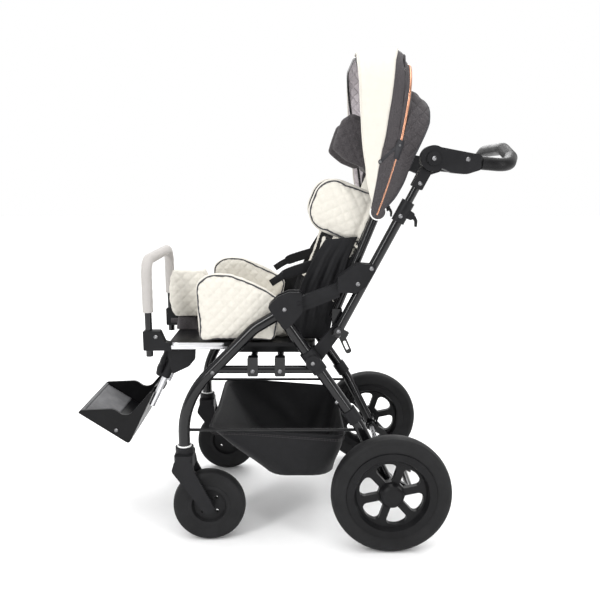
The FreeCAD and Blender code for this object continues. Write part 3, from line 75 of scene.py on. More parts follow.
# Canopy edges: distance out from the pivot in millimetres, and angle back from the vertical in degrees
VISOR_FRONT = ((14, -34), (51, -24), (109, -16), (215, -11.5), (302, -9.2), (358, -8.4), (382, -7.6))
VISOR_REAR = ((14, -14), (60, -5), (111, 1.0), (177, 4.6), (264, 5.8), (350, 5.9), (391, 7.2))
FOLD_REAR = ((14, 16), (100, 15.2), (176, 14.4), (217, 13.2), (303, 11.0), (358, 8.6), (383, 9.4))
STRIP_FRONT = ((14, 16), (100, 15.2), (176, 14.4), (217, 13.2), (303, 11.0), (350, 9.8), (366, 9.8))
BOW_LINE = ((14, 20), (100, 18.2), (173, 17.0), (240, 15.0), (330, 12.8), (354, 12.4))
VALLEY = ((14, 22), (100, 19.0), (173, 17.8), (240, 16.4), (290, 15.6), (300, 15.4))
REAR_EDGE = (
    (14, 60), (40, 52), (71, 44), (118, 35.4), (153, 32.4), (191, 31), (237, 29.6), (270, 26.6), (284, 24),
    (291, 21.5),
)
# Crowns across a panel: share of its width, and distance out from the pivot in millimetres
STRIP_CROWNS = ((0, 381), (0.12, 367), (1, 354))
VALLEY_CROWNS = ((0, 350), (0.38, 346), (0.62, 297), (1, 284))
# The canopy's arch, in metres, and the lines up its folds, in degrees and metres
CANOPY_TIP = 14 * MM
CANOPY_SIDE = 0.1925
CANOPY_CORNER = 0.095
SIDE_PUFF = 0.0008
CLOTH_RIPPLE = 0.0006
FOLD_LEAN = 7.0
VALLEY_SPLIT = (0.1, 0.3)
# Trim at the canopy's pivot: distances out from it, distances across the stroller and sizes, in metres
BOOT_R = 0.019
BOOT_TURN = (155, 385)
BOOT_OUT = (0.150, 0.105)
BOOT_Y = (0.1935, 0.1951)
BOOT_BINDING = (0.0012, 0.003)
CLIP_Y = 0.1948
ELBOW_OUT, ELBOW_Y, ELBOW_R, ELBOW_INNER_Y = 0.163, 0.194, 0.0105, 0.19
SLEEVE_OUT, SLEEVE_Y, SLEEVE_SIZE = (0.13, 0.176), 0.1917, (0.015, 0.008)
STAY_OUT, STAY_Y, STAY_SIZE, STAY_BOW = 0.118, 0.1942, (0.008, 0.0024), (0.004, 0, 0.006)
STAY_END_R, STAY_END_INNER_Y = 0.006, 0.191
CLIP_SCREW_R, CLIP_SCREW_Y = 0.0034, 0.1944
# Top of a side guard in the side view: X and Z in millimetres
GUARD_TOP = (
    (-237, 650), (-231, 663), (-222, 675), (-198, 684), (-170, 686.5), (-141, 684), (-113, 677), (-85, 665),
    (-56, 650), (-38, 637), (-4, 612),
)
GUARD_BASE = 0.59
GUARD_PIPING_IN = 0.0075
TRUNK_PIPING_IN = {"outer": 0.036, "inner": 0.009}
BACK_PANEL_HALF = 0.075
# Basket foot: its ends along the stroller and half its width
BASKET_FOOT = ((-0.062, 0.120), 0.158)
# Hip belt, from the back forwards, on the right-hand side
HIP_LINE = (
    (0.074, 0.138, 0.706), (0.052, 0.141, 0.699), (0.030, 0.143, 0.692), (0.008, 0.144, 0.685),
    (-0.014, 0.144, 0.676),
)
HIP_TAIL = ((0.010, 0, 0.004), (-0.012, 0, -0.008), (-0.03, 0, -0.02))
HIP_ACROSS = (-0.4, 0, 0.9)
# Cloth beside the back: X and Z of its edges from the top down, its length and its place across
FLAP_REAR = ((0.172, 0.775), (0.150, 0.72), (0.132, 0.66), (0.116, 0.60), (0.108, 0.55), (0.102, 0.517))
FLAP_FRONT = ((0.092, 0.768), (0.062, 0.72), (0.034, 0.66), (0.014, 0.60), (0.004, 0.55), (0.002, 0.517))
FLAP_Y = 0.1575
# Screw heads of each body: node, X and Z in millimetres
SCREWS = {
    "chassis": (("front_leg", -186, 446), ("rear_leg", 122, 369), ("rear_collars", 61, 471),
                ("side_braces", -20, 449), ("side_braces", -87, 449), ("front_brackets", -336, 521),
                ("junction_housing", -8, 606)),
    "push_frame": (("upper_housing", 200, 705), ("upper_housing", 168, 668), ("push_tube", 123, 550.7),
                   ("height_clamps", 266, 829)),
    "handle_post": (("hinge_brackets", 310, 905),),
    "handle": (("handle_joint_covers", 417, 960), ("handle_joint_covers", 338, 962)),
    "foot_tray": (("footplate", -459, 258),),
}
SCREW_HEIGHT = 0.0026
SEAT_EDGE_X, SEAT_EDGE_Z = (-0.29, -0.16), 0.509
TOE_MAT_RUN = (0.010, 0.078)
LEG_RING_R = 0.0165
FLOOR_HALF = 14
# Lamps: name, place, target, width and height, and power in watts
LAMPS = (
    ("key_softbox", (-2.3, -2.7, 2.4), (0, 0, 0.6), (0.5, 2.6), 72),
    ("fill_softbox", (2.5, -2.5, 1.4), (0, 0, 0.6), (0.35, 2.6), 38),
    ("top_softbox", (0.2, 0.1, 3.8), (0, 0, 0.4), (2.4, 2.4), 30),
    ("rim_softbox", (0.6, 3.2, 2.6), (0, 0, 0.7), (2.4, 1.4), 45),
)
SUN_POWER, SUN_ANGLE = 1.7, 80
CAMERA_PLACE = (0.0265, -1.7828, 0.9173)
CAMERA_TILT, CAMERA_PAN, CAMERA_LENS = 79.49, -0.11, 39.43


class StrollerColours(bpy.types.PropertyGroup):
    """Colours of the stroller's finishes."""

    def colour(name, description, default):
        return FloatVectorProperty(name=name, description=description, default=default, subtype="COLOR",
                                   size=3, min=0.0, max=1.0)

    cream: colour("Cream cloth", "Quilted seat and support fabric", (0.66, 0.635, 0.575))
    cream_shade: colour("Cream shade", "Darker thread in the cream fabric", (0.53, 0.505, 0.45))
    heather: colour("Heather cloth", "Grey fabric of the canopy and head pads", (0.030, 0.027, 0.029))
    heather_fleck: colour("Heather fleck", "Light thread in the grey fabric", (0.125, 0.115, 0.120))
    piping: colour("Piping", "Dark edge piping of the pads", (0.045, 0.045, 0.05))
    copper: colour("Copper", "Anodised canopy hoop", (0.60, 0.30, 0.19))
    frame_black: colour("Frame black", "Gloss paint of the tubes", (0.004, 0.004, 0.0045))
    charcoal: colour("Charcoal", "Moulded housings", (0.010, 0.010, 0.011))
    tyre: colour("Tyre", "Rubber of the tyres", (0.010, 0.010, 0.0105))
    rim: colour("Rim", "Moulded wheel rims", (0.006, 0.006, 0.0065))
    foam: colour("Foam", "Foam sleeve of the bumper bar", (0.43, 0.41, 0.395))
    silver: colour("Silver", "Bare aluminium", (0.75, 0.75, 0.77))
    # Toe grey: the toe mat's own colour, and a painted highlight on the tube along the footplate's front edge
    toe_grey_and_edge_highlight: colour("Toe grey", "Rubber mat and lip of the footplate", (0.15, 0.15, 0.155))
    bag_black: colour("Bag black", "Nylon of the basket and back cloth", (0.006, 0.006, 0.007))
    white: colour("White trim", "White binding and rings", (0.85, 0.85, 0.84))


class StrollerSizes(bpy.types.PropertyGroup):
    """Sizes of the stroller's soft goods and trim."""

    def length(name, description, default):
        return FloatProperty(name=name, description=description, default=default, min=0.0, unit="LENGTH")

    quilt: length("Quilt pitch", "Distance between lines of quilting", 0.0215)
    quilt_depth: length("Quilt depth", "Rise of each quilted cell", 0.0030)
    piping: length("Piping", "Diameter of the edge piping", 0.0042)
    voxel: length("Voxel", "Cell size of a pad before it swells", 0.005)
    cloth: length("Cloth", "Thickness of canopy and basket cloth", 0.0018)
    screw: length("Screw", "Radius of a screw head", 0.0052)
    stitch: length("Stitch", "Length of one stitch", 0.0048)


def colours():
    return bpy.context.scene.stroller_colours


def sizes():
    return bpy.context.scene.stroller_sizes


def joint_point(name):
    return Vector(JOINTS[name]["pos_m"])


# Mesh building

def new_object(name, mesh):
    made = bpy.data.objects.new(name, mesh)
    bpy.context.scene.collection.objects.link(made)
    return made


def mesh_object(name, verts, faces, smooth=True):
    mesh = bpy.data.meshes.new(name)
    mesh.from_pydata([tuple(v) for v in verts], [], faces)
    mesh.validate()
    mesh.update()
    made = new_object(name, mesh)
    tidy(made)
    if smooth:
        mesh.shade_smooth()
    return made


def grid_faces(rows, width, closed=False):
    """Quads between rows of points, each row open or closed into a loop."""
    return [
        (r * width + c, r * width + (c + 1) % width, (r + 1) * width + (c + 1) % width, (r + 1) * width + c)
        for r in range(rows - 1) for c in range(width if closed else width - 1)
    ]


def capped_faces(rows, width):
    """Quads around rows of points closed into loops, and a face over each end."""
    last = (rows - 1) * width
    return grid_faces(rows, width, True) + [tuple(range(width)), tuple(range(last, last + width))]


def cloth_object(name, verts, faces, offset=0.0):
    """A sheet of cloth with its thickness, and the area of its one side."""
    made = mesh_object(name, verts, faces)
    area = sum(p.area for p in made.data.polygons)
    thicken(made, sizes().cloth, offset)
    made.data.shade_smooth()
    return made, area


def tidy(made, distance=1e-6):
    """Merges doubles and points every face outwards."""
    shape = bmesh.new()
    shape.from_mesh(made.data)
    bmesh.ops.remove_doubles(shape, verts=shape.verts, dist=distance)
    bmesh.ops.recalc_face_normals(shape, faces=shape.faces)
    shape.to_mesh(made.data)
    shape.free()
    made.data.update()


def settle(made):
    """Turns an object's modifiers into a plain mesh."""
    graph = bpy.context.evaluated_depsgraph_get()
    graph.update()
    mesh = bpy.data.meshes.new_from_object(made.evaluated_get(graph))
    made.modifiers.clear()
    if made.type == "CURVE":
        name = made.name
        bpy.data.objects.remove(made)
        made = new_object(name, mesh)
    else:
        made.data = mesh
    return made


def modify(made, kind, **values):
    modifier = made.modifiers.new(kind.title(), kind)
    for key, value in values.items():
        setattr(modifier, key, value)
    return made


def subdivide(made, levels=1):
    return settle(modify(made, "SUBSURF", levels=levels, render_levels=levels))


def thicken(made, depth, offset=0.0):
    return settle(modify(made, "SOLIDIFY", thickness=depth, offset=offset))


def points_of(made):
    flat = np.empty(len(made.data.vertices) * 3)
    made.data.vertices.foreach_get("co", flat)
    return flat.reshape(-1, 3)


def normals_of(made):
    flat = np.empty(len(made.data.vertices) * 3)
    made.data.vertices.foreach_get("normal", flat)
    return flat.reshape(-1, 3)


def put_points(made, points):
    made.data.vertices.foreach_set("co", np.asarray(points, float).ravel())
    made.data.update()


def merged(node, name):
    """A closed copy of a CAD node to work from."""
    made = new_object(name, frame["nodes"][node].data.copy())
    made.data.materials.clear()
    tidy(made, 2e-5)
    return made


def mirrored(made, name):
    """The right-hand copy of a left-hand piece."""
    twin = new_object(name, made.data.copy())
    put_points(twin, points_of(twin) * np.array((1, -1, 1)))
    twin.data.flip_normals()
    return twin


def cloth_pair(made, name):
    return ((made, "left"), (mirrored(made, name), "right"))


def line_curve(name, points, closed):
    curve = bpy.data.curves.new(name, "CURVE")
    curve.dimensions = "3D"
    spline = curve.splines.new("POLY")
    spline.points.add(len(points) - 1)
    for target, point in zip(spline.points, points):
        target.co = (*point, 1)
    spline.use_cyclic_u = closed
    return curve


def curve_tube(name, points, radius, closed=False, sides=4):
    """A round tube along a smooth line, as a mesh."""
    curve = line_curve(name, points, closed)
    curve.bevel_depth = radius
    curve.bevel_resolution = sides
    curve.use_fill_caps = not closed
    made = settle(new_object(name, curve))
    made.data.shade_smooth()
    return made


def bent_path(corners, radius, steps=8):
    """Points along straight runs joined by round bends."""
    path = [Vector(corners[0])]
    for before, at, after in zip(corners, corners[1:], corners[2:]):
        at = Vector(at)
        back = (Vector(before) - at).normalized()
        ahead = (Vector(after) - at).normalized()
        half = back.angle(ahead) / 2
        reach = radius / math.tan(half)
        centre = at + (back + ahead).normalized() * radius / math.sin(half)
        start, end = at + back * reach - centre, at + ahead * reach - centre
        for i in range(steps + 1):
            path.append(centre + start.normalized().slerp(end.normalized(), i / steps) * radius)
    path.append(Vector(corners[-1]))
    return path


def ribbon(name, points, across, width, depth):
    """Flat webbing along a path: a rounded strip, wide along one direction."""
    across = Vector(across).normalized()
    section = ((-1, -0.5), (-0.94, -1), (0.94, -1), (1, -0.5), (1, 0.5), (0.94, 1), (-0.94, 1), (-1, 0.5))
    verts = []
    for i, point in enumerate(points):
        ahead = Vector(points[min(i + 1, len(points) - 1)]) - Vector(points[max(i - 1, 0)])
        up = ahead.cross(across).normalized()
        wide = up.cross(ahead).normalized()
        verts += [Vector(point) + wide * a * width / 2 + up * b * depth / 2 for a, b in section]
    return mesh_object(name, verts, capped_faces(len(points), len(section)))


def section_loop(made, place, facing):
    """The longest line in which a plane cuts a piece, as evenly smoothed points."""
    shape = bmesh.new()
    shape.from_mesh(made.data)
    everything = shape.verts[:] + shape.edges[:] + shape.faces[:]
    cut = bmesh.ops.bisect_plane(shape, geom=everything, plane_co=place, plane_no=facing)["geom_cut"]
    links = {}
    for edge in (e for e in cut if isinstance(e, bmesh.types.BMEdge)):
        a, b = edge.verts
        links.setdefault(a, []).append(b)
        links.setdefault(b, []).append(a)
    best, seen = [], set()
    for start in sorted(links, key=lambda v: tuple(v.co)):
        if start in seen:
            continue
        loop, at = [start], start
        seen.add(start)
        while True:
            following = [v for v in links[at] if v not in seen]
            if not following:
                break
            at = following[0]
            seen.add(at)
            loop.append(at)
        if len(loop) > len(best):
            best = loop
    points = np.array([v.co[:] for v in best])
    shape.free()
    for _ in range(14):
        points = (np.roll(points, 1, 0) + 2 * points + np.roll(points, -1, 0)) / 4
    return [Vector(p) for p in points[::2]]


def met(node, start, way):
    """Where a straight line first meets a node."""
    data = frame["nodes"][node].data
    tree = BVHTree.FromPolygons([v.co for v in data.vertices], [p.vertices for p in data.polygons])
    hit = tree.ray_cast(Vector(start), Vector(way))[0]
    if hit is None:
        raise RuntimeError(f"no surface of {node} from {start}")
    return hit


def on_surface(node, x, z, side):
    """Where a line across the stroller first meets a node from one side."""
    return met(node, (x, side * 0.6, z), (0, -side, 0))


# Shader nodes

def node(tree, kind, inputs=(), **values):
    made = tree.nodes.new(kind)
    for key, value in values.items():
        setattr(made, key, value)
    for key, value in dict(inputs).items():
        if isinstance(value, bpy.types.NodeSocket):
            tree.links.new(value, made.inputs[key])
        else:
            made.inputs[key].default_value = value
    return made


def shader_group(name, inputs, outputs):
    tree = bpy.data.node_groups.new(name, "ShaderNodeTree")
    for label, default in inputs:
        socket = tree.interface.new_socket(label, in_out="INPUT", socket_type="NodeSocketFloat")
        socket.default_value = default
    for label in outputs:
        tree.interface.new_socket(label, in_out="OUTPUT", socket_type="NodeSocketFloat")
    return tree, tree.nodes.new("NodeGroupInput"), tree.nodes.new("NodeGroupOutput")


def maths(tree, operation, a, b=0.0):
    return node(tree, "ShaderNodeMath", {0: a, 1: b}, operation=operation).outputs[0]


def noise(tree, place, scale, detail, roughness=0.5):
    inputs = {"Vector": place, "Scale": scale, "Detail": detail, "Roughness": roughness}
    return node(tree, "ShaderNodeTexNoise", inputs).outputs[0]


def weave_group():
    """Fine uneven threads, with a slower change of tone."""
    inputs = (("Threads", 900.0), ("Fleck Size", 60.0))
    tree, given, out = shader_group("Cloth Weave", inputs, ("Height", "Fleck"))
    place = node(tree, "ShaderNodeTexCoord").outputs["Object"]
    over = noise(tree, place, maths(tree, "MULTIPLY", given.outputs["Threads"], 0.4), 2.0)
    cloud = noise(tree, place, given.outputs["Fleck Size"], 6.0, 0.75)
    tree.links.new(over, out.inputs["Height"])
    tree.links.new(maths(tree, "MULTIPLY", cloud, over), out.inputs["Fleck"])
    return tree


def quilt_group():
    """Puffed diamond cells between two crossing sets of seams, on cloth that hangs along the sides."""
    tree, given, out = shader_group("Quilted Cells", (("Lines", 100.0),), ("Height",))
    split = node(tree, "ShaderNodeSeparateXYZ", {0: node(tree, "ShaderNodeTexCoord").outputs["Object"]})
    seams = []
    for operation in ("ADD", "SUBTRACT"):
        line = maths(tree, operation, split.outputs["X"], split.outputs["Z"])
        wave = maths(tree, "SINE", maths(tree, "MULTIPLY", line, given.outputs["Lines"]))
        seams.append(maths(tree, "ABSOLUTE", wave))
    cell = maths(tree, "POWER", maths(tree, "MINIMUM", *seams), 0.5)
    tree.links.new(cell, out.inputs["Height"])
    return tree


def grain_group():
    """Fine moulded grain with broader patches of gloss."""
    inputs = (("Grain", 1400.0), ("Patch", 18.0))
    tree, given, out = shader_group("Moulded Grain", inputs, ("Height", "Patches"))
    place = node(tree, "ShaderNodeTexCoord").outputs["Object"]
    tree.links.new(noise(tree, place, given.outputs["Grain"], 2.0), out.inputs["Height"])
    tree.links.new(noise(tree, place, given.outputs["Patch"], 5.0, 0.65), out.inputs["Patches"])
    return tree


def blank_material(name):
    made = bpy.data.materials.new(name)
    made.use_nodes = True
    MATERIALS[name] = made
    return made.node_tree, made.node_tree.nodes["Principled BSDF"]


def span_map(tree, value, low, high, from_low=0.35, from_high=0.65):
    return node(tree, "ShaderNodeMapRange", {"Value": value, "From Min": from_low, "From Max": from_high,
                                             "To Min": low, "To Max": high}).outputs[0]


def colour_mix(tree, factor, first, second):
    mixed = node(tree, "ShaderNodeMix", {0: factor}, data_type="RGBA")
    mixed.inputs[6].default_value = (*first, 1)
    mixed.inputs[7].default_value = (*second, 1)
    return mixed.outputs[2]


def bump(tree, height, strength, distance, **more):
    inputs = {"Height": height, "Strength": strength, "Distance": distance, **more}
    return node(tree, "ShaderNodeBump", inputs).outputs[0]


def texture_group(tree, name, inputs):
    return node(tree, "ShaderNodeGroup", inputs, node_tree=bpy.data.node_groups[name])


def set_inputs(shader, values):
    for label, value in values.items():
        shader.inputs[label].default_value = value


def cloth_finish(name, main, thread, threads=900.0, fleck=60.0, low=0.2, high=0.55, depth=0.0006, sheen=0.1,
                 rough=0.9, quilted=0.0):
    tree, shader = blank_material(name)
    weave = texture_group(tree, "Cloth Weave", {"Threads": threads, "Fleck Size": fleck})
    share = span_map(tree, weave.outputs["Fleck"], 0.0, 1.0, low, high)
    tree.links.new(colour_mix(tree, share, main, thread), shader.inputs["Base Color"])
    relief = bump(tree, weave.outputs["Height"], 0.5, depth)
    if quilted:
        cells = texture_group(tree, "Quilted Cells", {"Lines": math.pi / quilted / math.sqrt(2)})
        relief = bump(tree, cells.outputs["Height"], 1.0, 0.003, Normal=relief)
    tree.links.new(relief, shader.inputs["Normal"])
    set_inputs(shader, {"Roughness": rough, "Specular IOR Level": 0.2, "Sheen Weight": sheen})


def hard_finish(name, main, other, rough=(0.3, 0.45), grain=1400.0, depth=0.0002, metallic=0.0, shine=0.14):
    tree, shader = blank_material(name)
    texture = texture_group(tree, "Moulded Grain", {"Grain": grain})
    patches = texture.outputs["Patches"]
    mixed = colour_mix(tree, span_map(tree, patches, 0.0, 1.0), main, other)
    tree.links.new(mixed, shader.inputs["Base Color"])
    tree.links.new(span_map(tree, patches, *rough), shader.inputs["Roughness"])
    tree.links.new(bump(tree, texture.outputs["Height"], 0.35, depth), shader.inputs["Normal"])
    set_inputs(shader, {"Metallic": metallic, "Specular IOR Level": shine})


def lift(colour, amount):
    return tuple(min(1.0, c * amount) for c in colour)


def dress(made, finish, body=None, replaces=()):
    """Gives a finished piece its material, hangs it on the body it rides on, and hides the CAD parts it stands
    for.
    """
    made.data.materials.clear()
    made.data.materials.append(MATERIALS[finish])
    if body:
        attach(made, body)
    if replaces:
        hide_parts(*replaces)
    return made


# Geometry node trees

def geometry_tree(name, inputs):
    tree = bpy.data.node_groups.new(name, "GeometryNodeTree")
    tree.interface.new_socket("Geometry", in_out="INPUT", socket_type="NodeSocketGeometry")
    tree.interface.new_socket("Geometry", in_out="OUTPUT", socket_type="NodeSocketGeometry")
    sockets = {}
    for label, kind, default in inputs:
        socket = tree.interface.new_socket(label, in_out="INPUT", socket_type="NodeSocket" + kind)
        if default is not None:
            socket.default_value = default
        sockets[label] = socket.identifier
    return tree, tree.nodes.new("NodeGroupInput"), tree.nodes.new("NodeGroupOutput"), sockets


def spread(tree, given, out, points, instance, way):
    """Puts a shape on every point, turned along a direction, as one painted mesh."""
    turn = node(tree, "FunctionNodeAlignRotationToVector", {"Vector": way}, axis="Z")
    copies = node(tree, "GeometryNodeInstanceOnPoints", {"Points": points, "Instance": instance,
                                                         "Rotation": turn.outputs[0]})
    realized = node(tree, "GeometryNodeRealizeInstances", {0: copies.outputs[0]})
    painted = node(tree, "GeometryNodeSetMaterial", {0: realized.outputs[0],
                                                     "Material": given.outputs["Material"]})
    tree.links.new(painted.outputs[0], out.inputs[0])


def screw_tree():
    """A domed head on a washer at each point, square to the point's own direction."""
    tree, given, out, sockets = geometry_tree("Screw Heads", (
        ("Radius", "Float", 0.005), ("Height", "Float", 0.002), ("Material", "Material", None)))
    washer = node(tree, "GeometryNodeMeshCylinder", {"Vertices": 20, "Radius": given.outputs["Radius"],
                                                     "Depth": given.outputs["Height"]})
    small = maths(tree, "MULTIPLY", given.outputs["Radius"], 0.72)
    head = node(tree, "GeometryNodeMeshCone", {"Vertices": 16, "Radius Bottom": small,
                                               "Radius Top": maths(tree, "MULTIPLY", small, 0.55),
                                               "Depth": given.outputs["Height"]})
    both = node(tree, "GeometryNodeJoinGeometry")
    tree.links.new(washer.outputs[0], both.inputs[0])
    tree.links.new(head.outputs[0], both.inputs[0])
    facing = node(tree, "GeometryNodeInputNamedAttribute", {"Name": "facing"}, data_type="FLOAT_VECTOR")
    spread(tree, given, out, given.outputs[0], both.outputs[0], facing.outputs[0])
    return tree, sockets


def stitch_tree():
    """Short round stitches laid end to end along a line."""
    tree, given, out, sockets = geometry_tree("Stitches", (
        ("Length", "Float", 0.0045), ("Thread", "Float", 0.0005), ("Material", "Material", None)))
    pitch = maths(tree, "MULTIPLY", given.outputs["Length"], 1.5)
    line = node(tree, "GeometryNodeResampleCurve", {"Curve": given.outputs[0], "Length": pitch},
                mode="LENGTH")
    dash = node(tree, "GeometryNodeMeshCylinder", {"Vertices": 6, "Radius": given.outputs["Thread"],
                                                   "Depth": given.outputs["Length"]})
    along = node(tree, "GeometryNodeInputTangent")
    spread(tree, given, out, line.outputs[0], dash.outputs[0], along.outputs[0])
    return tree, sockets


def run_tree(made, tree, sockets, finish, **values):
    modifier = made.modifiers.new("Pattern", "NODES")
    modifier.node_group = tree
    for label, value in values.items():
        modifier[sockets[label]] = value
    modifier[sockets["Material"]] = MATERIALS[finish]
    made = settle(made)
    made.data.shade_smooth()
    return made


def stitches(name, points, finish, body, closed=False):
    line = new_object(name, line_curve(name, points, closed))
    made = run_tree(line, *TREES["stitch"], finish, Length=sizes().stitch)
    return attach(made, body)


# Padded pieces

def swell(made, cap):
    """Blows a pad up like a stuffed cover, moving no point by more than the cap."""
    before = points_of(made)
    cloth = made.modifiers.new("Swell", "CLOTH")
    cloth.settings.quality = 4
    cloth.settings.use_pressure = True
    cloth.settings.uniform_pressure_force = 4.0
    cloth.settings.effector_weights.gravity = 0.0
    cloth.collision_settings.use_collision = False
    cloth.point_cache.frame_start = 1
    cloth.point_cache.frame_end = 20
    for step in range(1, 21):
        bpy.context.scene.frame_set(step)
    settle(made)
    bpy.context.scene.frame_set(1)
    moved = points_of(made) - before
    far = np.linalg.norm(moved, axis=1, keepdims=True)
    put_points(made, before + moved * np.minimum(1.0, cap / np.maximum(far, 1e-9)))


def soft_pad(node_name, name, cap=0.006, shrink=0.003, proud=0.002):
    """A stuffed pad in the room of its CAD solid: remeshed, swollen, smoothed and kept in that room."""
    made = merged(node_name, name)
    low, high = (np.array(corner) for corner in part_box(node_name))
    middle = (low + high) / 2
    put_points(made, middle + (points_of(made) - middle) * (1 - 2 * shrink / (high - low)))
    settle(modify(made, "REMESH", mode="VOXEL", voxel_size=sizes().voxel, use_smooth_shade=True))
    swell(made, cap)
    subdivide(made)
    put_points(made, np.clip(points_of(made), low - proud, high + proud))
    return made


def puff_cells(made, cell, level, depth, out, facing):
    """Moves a pad's skin out in its cells and in at its seams, on the faces that look along one direction."""
    points, normals = points_of(made), normals_of(made)
    mask = np.clip((np.abs(normals @ out) - facing) / 0.3, 0, 1)
    put_points(made, points + normals * (depth * (cell - level) * mask)[:, None])
    made.data.shade_smooth()
    return made


def quilt(made, first, second, depth=None, facing=0.45):
    """Raises diamond cells between crossing lines of stitching, square to two directions in the pad."""
    first, second = np.array(first, float), np.array(second, float)
    points = points_of(made)
    a, b = points @ first, points @ second
    lines = [np.abs(np.sin(math.pi * (a + s * b) / math.sqrt(2) / sizes().quilt)) for s in (1, -1)]
    cell = np.minimum(*lines) ** 0.5
    return puff_cells(made, cell, 0.85, depth or sizes().quilt_depth, np.cross(first, second), facing)


def channels(made, along, pitch, depth, out):
    """Sews straight channels across a pad."""
    wave = np.abs(np.sin(math.pi * (points_of(made) @ np.array(along, float)) / pitch)) ** 0.5
    return puff_cells(made, wave, 0.8, depth, np.array(out, float), 0.4)


def arch_top(made, line, base):
    """Draws the top of a pad to a side-view line, less and less down to a base height."""
    points = points_of(made)
    x, z = points[:, 0], points[:, 2]
    steps = np.linspace(x.min(), x.max(), 40)
    tops = np.interp(x, steps, [z[np.abs(x - s) < 0.006].max() for s in steps])
    wanted = np.interp(x, *np.array(line).T * MM)
    points[:, 2] += np.clip((z - base) / (tops - base), 0, 1) * (wanted - tops)
    put_points(made, points)


def stretch(made, start, end, reach):
    """Draws one end of a pad along the stroller."""
    points = points_of(made)
    points[:, 0] += reach * np.clip((points[:, 0] - start) / (end - start), 0, 1)
    put_points(made, points)


def edge_piping(loop, name, side, body):
    """Piping along a line found on the left-hand pad, mirrored for the right-hand one."""
    points = [Vector((p.x, p.y * (1 if side == "left" else -1), p.z)) for p in loop]
    return dress(curve_tube(name, points, sizes().piping / 2, closed=True), "Dark piping", body)


def back_axes():
    """Up the back and out of its front, from the hinge of a trunk support."""
    up = Vector(JOINTS["trunk_right_turn"]["axis"]).normalized()
    return up, Vector((-up.z, 0, up.x))


def seat_pads():
    cushion = quilt(soft_pad("seat_cushion", "seat_pad"), (1, 0, 0), (0, 1, 0))
    dress(cushion, "Cream quilt", "chassis", ["seat_cushion"])
    low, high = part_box("side_guard_left")
    guard = soft_pad("side_guard_left", "guard_pad_left", cap=0.005)
    stretch(guard, -0.17, -0.23, -0.005)
    arch_top(guard, GUARD_TOP, GUARD_BASE)
    loops = {edge: section_loop(guard, (0, y, 0), (0, 1, 0))
             for edge, y in (("outer", low.y + GUARD_PIPING_IN), ("inner", high.y - GUARD_PIPING_IN))}
    quilt(guard, (1, 0, 0), (0, 0, 1), depth=0.0028)
    for pad, side in cloth_pair(guard, "guard_pad_right"):
        dress(pad, "Cream quilt", "chassis", ["side_guard_" + side])
        for edge, loop in loops.items():
            edge_piping(loop, f"guard_piping_{edge}_{side}", side, "chassis")
    block = soft_pad("pommel", "pommel_pad", cap=0.006)
    stretch(block, -0.285, -0.225, 0.012)
    quilt(block, (0, 1, 0), (0, 0, 1), facing=0.3)
    quilt(block, (1, 0, 0), (0, 0, 1), facing=0.6)
    dress(block, "Cream quilt", "knee_block", ["pommel"])


def back_pads():
    up, out = back_axes()
    cushion = quilt(soft_pad("backrest_cushion", "back_pad", cap=0.007), up, (0, 1, 0))
    dress(cushion, "Cream quilt", "backrest", ["backrest_cushion"])
    cushion.data.materials.append(MATERIALS["Back cloth"])
    for face in cushion.data.polygons:
        face.material_index = int(face.normal.dot(out) < 0.35 and not abs(face.center.y) < BACK_PANEL_HALF)
    rest = channels(soft_pad("headrest_pad", "headrest_cushion"), up, 0.04, 0.003, out)
    dress(rest, "Heather cloth", "backrest", ["headrest_pad"])
    wing = quilt(soft_pad("head_wing_left", "wing_pad_left", cap=0.005), up, out, depth=0.003)
    for pad, side in cloth_pair(wing, "wing_pad_right"):
        dress(pad, "Heather cloth", "wing_" + side, ["head_wing_" + side])
    trunk = soft_pad("trunk_support_left", "trunk_pad_left", cap=0.008)
    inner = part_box("trunk_support_left")[1].y
    loops = {edge: section_loop(trunk, (0, inner - depth, 0), (0, 1, 0))
             for edge, depth in TRUNK_PIPING_IN.items()}
    quilt(trunk, up, out, depth=0.0026)
    for pad, side in cloth_pair(trunk, "trunk_pad_right"):
        dress(pad, "Cream quilt", "trunk_" + side, ["trunk_support_" + side])
        for edge, loop in loops.items():
            edge_piping(loop, f"trunk_piping_{edge}_{side}", side, "trunk_" + side)


# Canopy

def canopy_at(line, out, y):
    """A point of the canopy, out from the pivot along one of its edge lines."""
    angle = math.radians(float(np.interp(out / MM, *zip(*line))))
    pivot = joint_point("canopy_open")
    return Vector((pivot.x + out * math.sin(angle), y, pivot.z + out * math.cos(angle)))


def arch_rows(count_side=20, count_corner=10, count_top=12):
    """Steps of the arch from its left tip over the crown to its right tip: stretch, share of it and side."""
    half = [("side", i / count_side) for i in range(count_side)]
    half += [("corner", i / count_corner) for i in range(count_corner)]
    half += [("top", i / count_top) for i in range(count_top + 1)]
    return [(*step, -1) for step in half] + [(*step, 1) for step in reversed(half[:-1])]


def arch_point(kind, share, crown, tip, side, puff, beside=None):
    """Distance out and y of one step of the arch. Its sides stay clear of the push tubes."""
    straight = crown - CANOPY_CORNER
    beside = min(puff, SIDE_PUFF) if beside is None else beside
    if kind == "side":
        return tip + (straight - tip) * share, side * (CANOPY_SIDE + beside)
    if kind == "corner":
        turn = share * math.pi / 2
        y = CANOPY_SIDE - CANOPY_CORNER + (CANOPY_CORNER + beside) * math.cos(turn)
        return straight + (CANOPY_CORNER + puff) * math.sin(turn), side * y
    return crown + puff, side * (CANOPY_SIDE - CANOPY_CORNER) * (1 - share)


